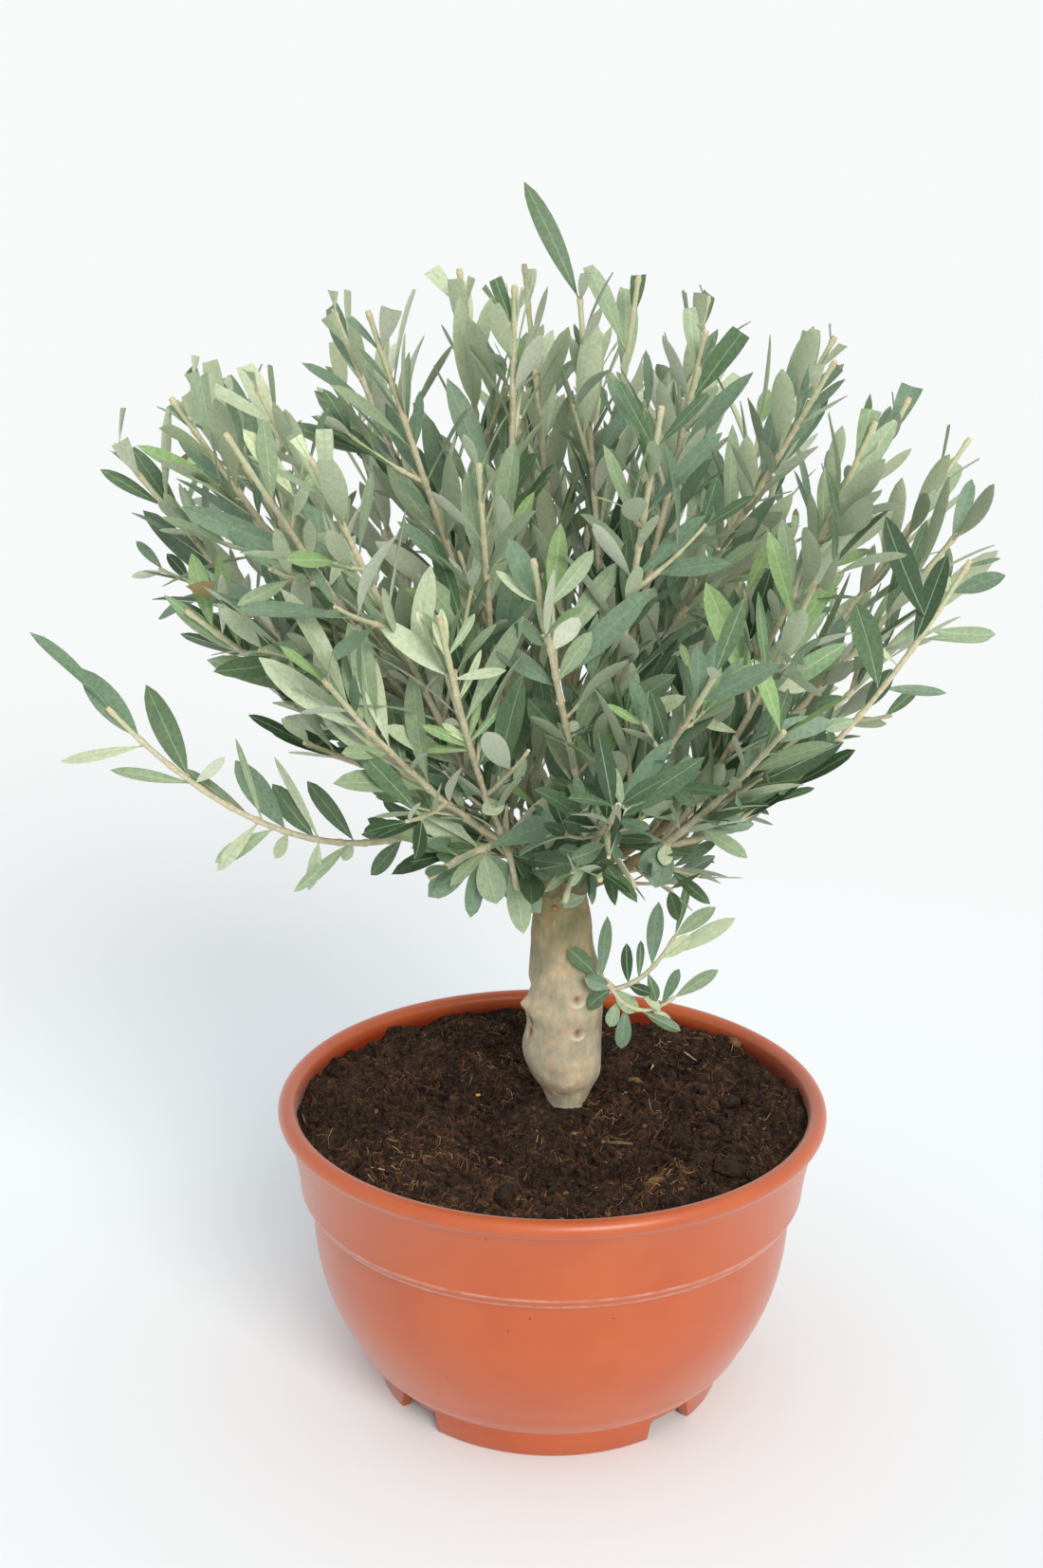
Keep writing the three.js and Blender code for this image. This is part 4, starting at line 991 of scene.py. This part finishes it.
# Places of the nodes along a twig, a spacing apart.
def nodePlaces(length, spacing):
    count = max(leaf["fewest"], round(length * (1 - leaf["firstNode"]) / spacing))
    return leaf["firstNode"] + (1 - leaf["firstNode"]) * (np.arange(1, count + 1) - 0.15) / count


# Where leaves sit on a twig: pairs, each a quarter turn on from the last, as arrays of equal length.
def leafNodes(shoot, spacing, lift, bulk):
    places = nodePlaces(lengthOf(shoot["path"]), spacing)
    node, t = np.repeat(np.arange(1, len(places) + 1), 2), np.repeat(places, 2)
    side = np.tile([0, 1], len(places))
    point, along = curveAt(shoot["path"], t)
    normal, seed = framesOf(shoot["path"], along)[0], shoot["seed"]
    luck = np.array([[chance(seed, n, s), *[chance(seed, n, s, i) for i in range(1, 6)]]
                     for n, s in zip(node, side)])
    turn = math.pi * side + math.pi / 2 * node + 0.5 * luck[:, 0] + seed
    out = turned(normal, along, turn)
    base, tip = shoot["radius"]
    root = point + out * (leaf["sunk"] * (base + (tip - base) * t))[:, None]
    newness = np.clip((t - 0.8) / 0.2, 0, 1) if shoot["order"] else np.clip((t - 0.9) / 0.1, 0, 1) * 0.5
    every = np.ones(len(node))
    return {"root": root, "along": along, "out": out, "luck": luck, "new": newness, "lift": lift * every,
            "bulk": bulk * every, "seed": seed * every, "bare": t > shoot.get("bareFrom", 1)}


# Settles every leaf's way, face and size: each is tried at its full size, then smaller and closer in.
def settleLeaves(nodes, allowed):
    luck, along = nodes["luck"], nodes["along"]
    least, most = leaf["sizes"]
    size = least + (most - least) * luck[:, 3] ** leaf["skew"]
    size = size * (1 - leaf["smallerWhenNew"] * nodes["new"]) * nodes["bulk"]
    placed = np.zeros(len(size), bool)
    way, face = np.zeros_like(along), np.zeros_like(along)
    length, width = np.zeros(len(size)), np.zeros(len(size))
    sunward = leaf["faceUp"] * up + leaf["faceOut"] * unit(nodes["root"] - head)
    for scale, spread in leaf["tries"]:
        angle = np.radians(leaf["angle"] * spread + leaf["angleSpread"] * (luck[:, 1] - 0.5))[:, None]
        tryWay = unit(along * np.cos(angle) + nodes["out"] * np.sin(angle) + nodes["lift"][:, None] * up)
        tryFace = turned(sunward, tryWay, leaf["twist"] * (luck[:, 2] - 0.5))
        tryLength, tryWidth = leaf["length"] * size * scale, leaf["width"] * (0.15 + 0.85 * size) * scale
        across = unit(np.cross(tryFace, tryWay)) * tryWidth[:, None] / 2
        middle = nodes["root"] + tryWay * (0.55 * tryLength)[:, None]
        tip = nodes["root"] + tryWay * tryLength[:, None]
        foot = nodes["root"] + 0.15 * (tip - middle)
        now = allowed(np.stack([middle + across, middle - across, tip, foot], 1)) & ~placed
        way[now], face[now] = tryWay[now], tryFace[now]
        length[now], width[now] = tryLength[now], tryWidth[now]
        placed |= now
    return placed, way, face, length, width


# Share of each leaf's length left by the shears, and 0 where too little would be left to stay on.
def clippedShare(root, way, length, luck):
    short = crown["cutDepth"] * luck[:, 2]
    reach = np.linalg.norm(root + way * length[:, None] - crown["clipMiddle"], axis=1) + short
    arm = root - head
    rise = np.degrees(np.arcsin(arm[:, 2] / np.linalg.norm(arm, axis=1)))
    share = 1 - (reach - crown["clip"]) / length
    share = np.where((reach < crown["clip"]) | (rise < crown["clipRise"]), 1, share)
    return np.where(share < crown["shortestCut"], 0, np.minimum(share, 1))


# The form of a blade. A pair is a middle value and how much it differs from leaf to leaf.
blade = {"rowEase": 0.85, "widens": [0.85, 0.3], "narrows": [0.84, -0.2], "stalk": 0.42, "stalkTaper": 0.55,
         "droop": [-0.03, 0.2], "bend": [-0.08, 0.16], "twist": [-0.45, 0.9], "fold": [-0.08, 0.34],
         "rib": [0.3, -0.14], "thicker": [1.3, -0.7]}


# Leaf blades as one array (n, rows, 5, 3). At s along the leaf the half width is u^p (1-u)^q past the
# petiole, the midline droops and bends as s^2 and the blade twists as s. The five columns are an edge, the
# two sides of the midrib, the other edge and the keel below. The edges are lifted by the fold.
def bladeGrids(root, way, face, length, width, share, luck, obovate=0.0):
    def mixed(name, amount):
        return (blade[name][0] + blade[name][1] * amount)[:, None]

    across = unit(np.cross(face, way))
    normal = np.cross(way, across)
    petiole = ((leaf["petiole"] / leaf["length"]) * length)[:, None]
    long = length[:, None]
    u = np.linspace(0, 1, leaf["sections"]) ** blade["rowEase"]
    s = np.concatenate([np.zeros_like(long), (petiole + (long - petiole) * u) / long], axis=1)
    s = s * share[:, None]
    u = np.clip((s - petiole / long) / (1 - petiole / long), 0, 1)
    p, q = mixed("widens", luck[:, 4]) + obovate, mixed("narrows", luck[:, 5]) - 0.3 * obovate
    peak = (p / (p + q)) ** p * (q / (p + q)) ** q
    half = width[:, None] / 2 * u**p * (1 - u) ** q / peak + blade["stalk"] * (1 - blade["stalkTaper"] * s)
    run = long * s
    drop, drift = mixed("droop", luck[:, 4]) * run * s, mixed("bend", luck[:, 5]) * run * s
    twist = mixed("twist", luck[:, 0]) * s
    centre = root[:, None] + way[:, None] * run[..., None] - normal[:, None] * drop[..., None]
    centre = centre + across[:, None] * drift[..., None]
    sideways = across[:, None] * np.cos(twist)[..., None] + normal[:, None] * np.sin(twist)[..., None]
    upwards = normal[:, None] * np.cos(twist)[..., None] - across[:, None] * np.sin(twist)[..., None]
    folded = mixed("fold", luck[:, 3]) * half
    rib = np.minimum(blade["rib"][0] + blade["rib"][1] * s, 0.5 * half)
    keel = -leaf["thickness"] * (blade["thicker"][0] + blade["thicker"][1] * s)
    columns = [(half, folded), (rib, 0 * rib), (-rib, 0 * rib), (-half, folded), (0 * half, keel)]
    return np.stack([centre + sideways * side[..., None] + upwards * lift[..., None]
                     for side, lift in columns], 2)


# Where the sprays differ in tone: painted light makes them lighter high up and painted shade darker low
# down, and they are fresh about a few middles (x, y, z, radius).
sprays = {
    "middle": 370, "height": 150, "paintedLight": 0.17, "edges": [0.24, 0.44, 0.6, 0.8], "freshFrom": 0.72,
    "fresh": [[-3, -40, 464, 24], [-128, -52, 420, 18]],
    # how far a leaf's tone follows its spray and its own luck, and the luck that tender and rusty ones need
    "shares": [0.6, 0.4], "tenderFrom": 0.76, "rustyFrom": [0.985, 0.3], "dullUnder": 0.6,
    # sunlit parts of the crown: middle x, y, z, radius and how much lighter
    "sunlit": [[-130, -30, 390, 80, 0.14], [-60, -90, 400, 60, 0.06], [60, -100, 330, 50, -0.05]],
}


# Which finish each leaf's upper side has: a tone for its spray, shifted by painted light and shade,
# brighter towards the growing tips.
def dealTones(nodes):
    seed, luck = nodes["seed"], nodes["luck"]
    spray = np.array([chance(int(value), 11) for value in seed])
    above = np.clip((nodes["root"][:, 2] - sprays["middle"]) / sprays["height"], -1, 1)
    # Painted light and shade: tones are lighter high up, darker low down and lighter in the sunlit parts of
    # the crown.
    mixed = sprays["shares"][0] * spray + sprays["shares"][1] * luck[:, 4] + sprays["paintedLight"] * above
    for x, y, z, around, paintedLight in sprays["sunlit"]:
        away = np.linalg.norm(nodes["root"] - [x, y, z], axis=1)
        mixed = mixed + paintedLight * np.exp(-((away / around) ** 2))
    steps = [mixed < edge for edge in sprays["edges"]]
    darkFirst = [leafNumber[name] for name in ("deep", "dark", "blue", "grey")]
    tone = np.select(steps, darkFirst, leafNumber["sage"])
    fresh = (nodes["new"] > 0.2) & (spray > sprays["freshFrom"])
    for x, y, z, around in sprays["fresh"]:
        fresh |= (np.linalg.norm(nodes["root"] - [x, y, z], axis=1) < around) & (luck[:, 3] > 0.3)
    tone = np.where(fresh, leafNumber["young"], tone)
    return np.where(fresh & (luck[:, 5] > sprays["tenderFrom"]), leafNumber["tender"], tone)


# A finish for each face of the blades: the first row is the petiole, columns 0 and 2 the upper side.
def bladeFinish(tone, luck):
    rows = leaf["sections"]
    finish = np.empty((len(tone), rows, 5), int)
    finish[:, :, [0, 2]] = tone[:, None, None]
    isDark = np.isin(tone, [leafNumber[name] for name in ("deep", "dark", "blue")])
    finish[:, :, 1] = np.where(isDark, leafNumber["vein"], leafNumber["midrib"])[:, None]
    isDull = luck[:, 1] < sprays["dullUnder"]
    finish[:, :, 3:] = np.where(isDull, leafNumber["under"], leafNumber["pale"])[:, None, None]
    finish[:, 0, :] = leafNumber["midrib"]
    isRusty = (luck[:, [5, 4]] > sprays["rustyFrom"]).all(axis=1)
    finish[isRusty, rows - 2 :, :3] = leafNumber["rust"]
    caps = np.stack([np.full(len(tone), leafNumber["midrib"]), tone], 1)
    return finish.ravel(), caps.ravel()


# Skins of twigs, swollen and corky at their nodes. The young end of a twig is green.
def twigSkins(twigs):
    skins = []
    for shoot in twigs:
        length, isSide = lengthOf(shoot["path"]), shoot["order"] > 0
        nodes = nodePlaces(length, leaf["spacing"])
        rows, columns = max(twig["fewestRows"], int(length / twig["rowLength"])), twig["columns"][isSide]
        grid = tubeGrid(shoot["path"], rows, columns, *shoot["radius"], nodes, twig["swell"],
                        twig["swellWidth"])
        t = (np.arange(rows - 1) + 0.5) / (rows - 1)
        tone = np.where(t < twig["greenFrom"][isSide], twigNumber["grey"], twigNumber["green"])
        atNode = (np.abs(t[:, None] - nodes[None]) * length < twig["nodeHalf"]).any(axis=1)
        tone = np.where(atNode, twigNumber["node"], tone)
        skins.append((*skinOf(grid), [np.repeat(tone, columns), twigNumber["node"]]))
    return skins


def addTwigs(name, skins, stands):
    points, faces, finish = joined(skins)
    addPiece(name, points, faces, list(twigFinish.values()), stands, finish, 60)


groups = {
    "left": ["left", "left_front", "low_left"], "front": ["front_left", "front", "front_right"],
    "right": ["right", "right_back"], "back": ["back_right", "back", "back_left"],
    "top": ["top_left", "top_right", "top_back"],
}


# The leaves on some shoots of a mass, as blades with their tones and luck. A last leaf may be added.
def leavesOn(shoots, bough, allowed, last=None):
    spacing = bough.get("spacing", leaf["spacing"])
    parts = []
    for shoot in shoots:
        if lengthOf(shoot["path"]) < leaf["lowShoot"] and shoot["order"] == 0:
            parts.append(leafNodes(shoot, leaf["lowSpacing"] * spacing, leaf["lowLift"], leaf["lowBulk"]))
        else:
            parts.append(leafNodes(shoot, spacing, leaf["lift"], 1.0))
    nodes = {key: np.concatenate([part[key] for part in parts]) for key in parts[0]}
    placed, way, face, length, width = settleLeaves(nodes, allowed)
    share = np.ones(len(length))
    share[placed] = clippedShare(nodes["root"][placed], way[placed], length[placed], nodes["luck"][placed])
    if last:
        nodes = {key: np.concatenate([nodes[key], nodes[key][:1]]) for key in nodes}
        nodes["root"][-1] = curveAt(shoots[last["shoot"]]["path"], 0.985)[0][0]
        nodes["bare"][-1] = False
        way = np.vstack([way, direction(last["azimuth"], last["rise"])])
        face = np.vstack([face, last["face"]])
        length, width = np.append(length, last["length"]), np.append(width, last["width"])
        placed, share = np.append(placed, True), np.append(share, 1)
    kept = placed & (share > 0) & ~nodes["bare"]
    placing = [values[kept] for values in (nodes["root"], way, face, length, width, share, nodes["luck"])]
    return bladeGrids(*placing), dealTones(nodes)[kept], nodes["luck"][kept]


# Leaves are added as one piece from batches of blades, tones and luck.
def addLeaves(name, batches, stands):
    grids, tones, lucks = [np.concatenate(parts) for parts in zip(*batches)]
    points, faces = skinsOf(grids)
    finish = np.concatenate(bladeFinish(tones, lucks))
    addPiece(name, points, faces, list(leafFinish.values()), stands, finish, 60)
    print(f"{name}: {len(grids)} leaves")


# The foliage of several masses as two pieces, one of twigs and one of leaves.
def makeFoliage(group, members):
    skins, batches = [], []
    for bough in [b for b in boughs if b["name"] in members]:
        twigs, start, heading, fork = twigsOf(bough)
        inner = [] if bough.get("hangs") else spursOf(bough)
        stem = {"path": sagging(start, fork, 0), "radius": twig["stem"], "order": 0}
        skins += twigSkins([stem, *twigs, *inner])
        batches.append(leavesOn(twigs, bough, lambda points: keepsToSpace(points, bough, start, heading),
                                endLeaves.get(bough["name"])))
        if inner:
            batches.append(leavesOn(inner, bough, keepsNear))
    stands = [f"foliage_{name}" for name in members]
    addTwigs(f"twigs_{group}", skins, stands)
    addLeaves(f"leaves_{group}", batches, stands)


for group, members in groups.items():
    makeFoliage(group, members)


# Leaves from their roots and rows of tip (x, z), width and tone. They face the front, and silver ones show
# their underside. A tip stands in front of its root or behind it by a random lean.
def leavesAt(root, rows, lean, seed, broader=1.0, obovate=0.15):
    x, z, width = np.array([row[:3] for row in rows], float).T
    isSilver = np.array([row[3] == "silver" for row in rows])
    tone = np.array([leafNumber["grey" if row[3] == "silver" else row[3]] for row in rows])
    luck = np.array([[chance(seed, i, k) for k in range(6)] for i in range(len(root))])
    tip = np.stack([x, root[:, 1] + lean * (luck[:, 0] - 0.75), z], 1)
    way = unit(tip - root)
    face = turned(np.array([0.1, -1, 0.35]) * np.ones_like(way), way, 0.6 * (luck[:, 1] - 0.5))
    face[isSilver] *= -1
    length, share = np.linalg.norm(tip - root, axis=1), np.ones(len(root))
    return bladeGrids(root, way, face, length, broader * width, share, luck, obovate), tone, luck


# Leaves from rows that begin with a foot (x, z), which is moved to the nearest of the places given.
def leavesFromRows(rows, places, plane, lean, seed, broader=1.0):
    foot = np.array([[row[0], plane, row[1]] for row in rows], float)
    root = places[np.linalg.norm(foot[:, None] - places[None], axis=2).argmin(axis=1)]
    return leavesAt(root, [row[2:] for row in rows], lean, seed, broader)


# The leaves of the shoots that stand out, rooted on the shoots themselves.
def makeLedLeaves():
    batches = []
    for i, led in enumerate(ledShoots):
        bough = [b for b in boughs if b["name"] == led["bough"]][0]
        path = twigsOf(bough)[0][led["shoot"]]["path"]
        root = curveAt(path, np.array([min(row[0], 0.99) for row in led["leaves"]]))[0]
        rows = [row[1:] for row in led["leaves"]]
        batches.append(leavesAt(root, rows, 14, 1000 + i, obovate=0.05))
    addLeaves("leaves_led_shoots", batches, sorted({f"foliage_{led['bough']}" for led in ledShoots}))


makeLedLeaves()


# The small water shoot low on the trunk, and the spur above it.
def makeWaterShoot():
    paths = [np.array(places, float) for places in [waterShoot["stem"], *waterShoot["twigs"]]]
    twigs = [{"path": path, "radius": radius, "order": i}
             for i, (path, radius) in enumerate(zip(paths, waterShoot["radii"]))]
    spur = waterShoot["spur"]
    at = np.array(spur["at"])
    budPath = at + [0, 3, 0], at + [0, 1, 0.2], at - [0, 1.4, 0]
    bud = skinOf(tubeGrid(budPath, 8, 10, spur["radius"], 0.8 * spur["radius"]))
    skins = twigSkins(twigs) + [(*bud, [twigNumber["bud"], twigNumber["bud"]])]
    stands = ["foliage_water_shoot"]
    addTwigs("twigs_water_shoot", skins, stands)
    places = np.concatenate([curveAt(path, np.linspace(0.1, 1, 60))[0] for path in paths])
    lean, broader = waterShoot["lean"], waterShoot["broader"]
    shootLeaves = leavesFromRows(waterShoot["leaves"], places, waterShoot["plane"], lean, 900, broader)
    spurLeaves = leavesFromRows(spur["leaves"], at[None], at[1], lean, 950)
    addLeaves("leaves_water_shoot", [shootLeaves, spurLeaves], stands)


# Large leaves that spread from the lowest forks in front and hide the head of the trunk, as rows of
# foot (x, z), tip (x, z), width and tone in an upright plane.
rosettes = [
    {"plane": -62, "of": ["front_left", "front"], "leaves": [
        [-28, 289, -59, 296, 9.2, "sage"], [-29, 288, -55, 264, 11.4, "blue"],
        [-28, 287, -26, 259, 12, "grey"], [-26, 288, -7, 253, 12.8, "blue"],
        [-23, 289, 5, 266, 12.4, "blue"], [-8, 289, 16, 271, 13.2, "dark"],
        [-25, 290, 11, 300, 11.6, "blue"], [-32, 291, -66, 316, 10, "sage"],
        [-29, 284, -50, 282, 8.4, "dark"], [-29, 279, -38, 252, 8, "blue"],
        [-14, 279, -13, 246, 9.6, "grey"], [-23, 290, 4, 302, 9, "sage"], [-23, 301, -15, 323, 8, "grey"],
        [-38, 312, -57, 318, 9.4, "blue"], [-36, 311, -25, 302, 9.5, "sage"],
    ]},
    {"plane": -50, "of": ["front_right", "front"], "leaves": [
        [46, 284, 16, 283, 8.4, "blue"], [45, 282, 36, 267, 9.2, "blue"], [46, 284, 43, 259, 10.9, "blue"],
        [47, 288, 30, 303, 10.9, "grey"], [51, 286, 80, 278, 7.6, "grey"], [24, 314, 13, 297, 8.7, "grey"],
        [55, 288, 84, 289, 7, "blue"], [21, 293, 10, 266, 10.4, "deep"], [43, 282, 46, 270, 7, "sage"],
        [67, 297, 83, 309, 7.4, "dark"], [28, 292, 1, 286, 9.6, "dark"], [24, 308, -4, 311, 9.6, "dark"],
        [20, 306, -4, 322, 9, "blue"],
    ]},
]


def makeRosettes():
    batches = []
    for i, rosette in enumerate(rosettes):
        places = []
        for bough in [b for b in boughs if b["name"] in rosette["of"]]:
            twigs, start, heading, fork = twigsOf(bough)
            leaders = [shoot["path"] for shoot in twigs if shoot["order"] == 0]
            limbs = [boughPath(bough), sagging(start, fork, 0)]
            places += [curveAt(path, np.linspace(0.3, 0.5, 12))[0] for path in leaders]
            places += [curveAt(path, np.linspace(0.7, 1, 12))[0] for path in limbs]
        places = np.concatenate(places)
        batches.append(leavesFromRows(rosette["leaves"], places, rosette["plane"], 16, 970 + i))
    addLeaves("leaves_low_front", batches, ["foliage_front_left", "foliage_front", "foliage_front_right"])


makeRosettes()
makeWaterShoot()


studio = {
    # The floor near the pot has painted light: it is paler and cooler there, against the shade and the
    # orange bounce light under the pot.
    "floorSize": 14000, "floor": "#e4e5e5", "paintedLightNearPot": "#e7ecee", "near": [180, 900], "strength": 1.0,
    # brightness of the surround by its height: a bright horizon, a softer belt and a bright zenith
    "surround": [[0.0, "#f8fafa"], [0.12, "#f8fafa"], [0.26, "#d4d8dd"], [0.8, "#f2f5f8"]],
    "sun": {"azimuth": -68, "rise": 30, "angle": 30, "strength": 2.4, "colour": "#fffaf2"},
    "camera": {"at": [-15.41, -846.26, 539.86], "pitch": 73.637, "roll": 0.4368, "lens": 45.197},
}


def makeFloor():
    half = studio["floorSize"] * mm / 2
    mesh = bpy.data.meshes.new("studio_floor")
    corners = [(-half, -half, 0), (half, -half, 0), (half, half, 0), (-half, half, 0)]
    mesh.from_pydata(corners, [], [(0, 1, 2, 3)])
    floor = bpy.data.objects.new("studio_floor", mesh)
    bpy.context.scene.collection.objects.link(floor)
    surface = {"Roughness": 0.9, "Specular IOR Level": 0.0}
    material, tree, shader, place = newMaterial("painted_board", surface)
    away = addNode(tree, "VectorMath", {0: place}, operation="LENGTH"), "Value"
    # Painted light: the floor is paler and cooler close to the pot and fades to its plain tone further out.
    share = rangeOf(tree, away, studio["near"][0] * mm, studio["near"][1] * mm, curve="SMOOTHSTEP")
    tone = mixOf(tree, share, colourOf(studio["paintedLightNearPot"]), colourOf(studio["floor"]))
    feed(tree, shader, {"Base Color": tone})
    mesh.materials.append(material)


# A wide soft sun, which lights the plant and the floor evenly.
def addSun(name, settings):
    data = bpy.data.lights.new(name, "SUN")
    data.energy, data.angle = settings["strength"], math.radians(settings["angle"])
    data.color = colourOf(settings["colour"])[:3]
    lamp = bpy.data.objects.new(name, data)
    bpy.context.scene.collection.objects.link(lamp)
    toSun = Vector(direction(settings["azimuth"], settings["rise"]))
    lamp.location = toSun
    lamp.rotation_euler = toSun.to_track_quat("Z", "Y").to_euler()


def makeCamera(settings):
    data = bpy.data.cameras.new("camera")
    data.sensor_width, data.lens = 36, settings["lens"]
    camera = bpy.data.objects.new("camera", data)
    bpy.context.scene.collection.objects.link(camera)
    turn = Matrix.Rotation(math.radians(settings["pitch"]), 4, "X")
    turn = turn @ Matrix.Rotation(math.radians(settings["roll"]), 4, "Z")
    camera.matrix_world = Matrix.Translation([value * mm for value in settings["at"]]) @ turn
    bpy.context.scene.camera = camera


# A pale surround that is as bright as the floor at the horizon and brighter overhead.
def makeSurround():
    world = bpy.data.worlds.new("studio")
    world.use_nodes = True
    tree = world.node_tree
    height = heightOf(tree, (addNode(tree, "TexCoord", {}), "Generated"))
    feed(tree, tree.nodes["Background"], {"Color": rampOf(tree, height, studio["surround"]),
                                          "Strength": studio["strength"]})
    bpy.context.scene.world = world


makeFloor()
addSun("soft_sun", studio["sun"])
makeCamera(studio["camera"])
makeSurround()
bpy.context.scene.view_settings.view_transform = "Standard"
print("studio set")

bpy.context.view_layer.update()
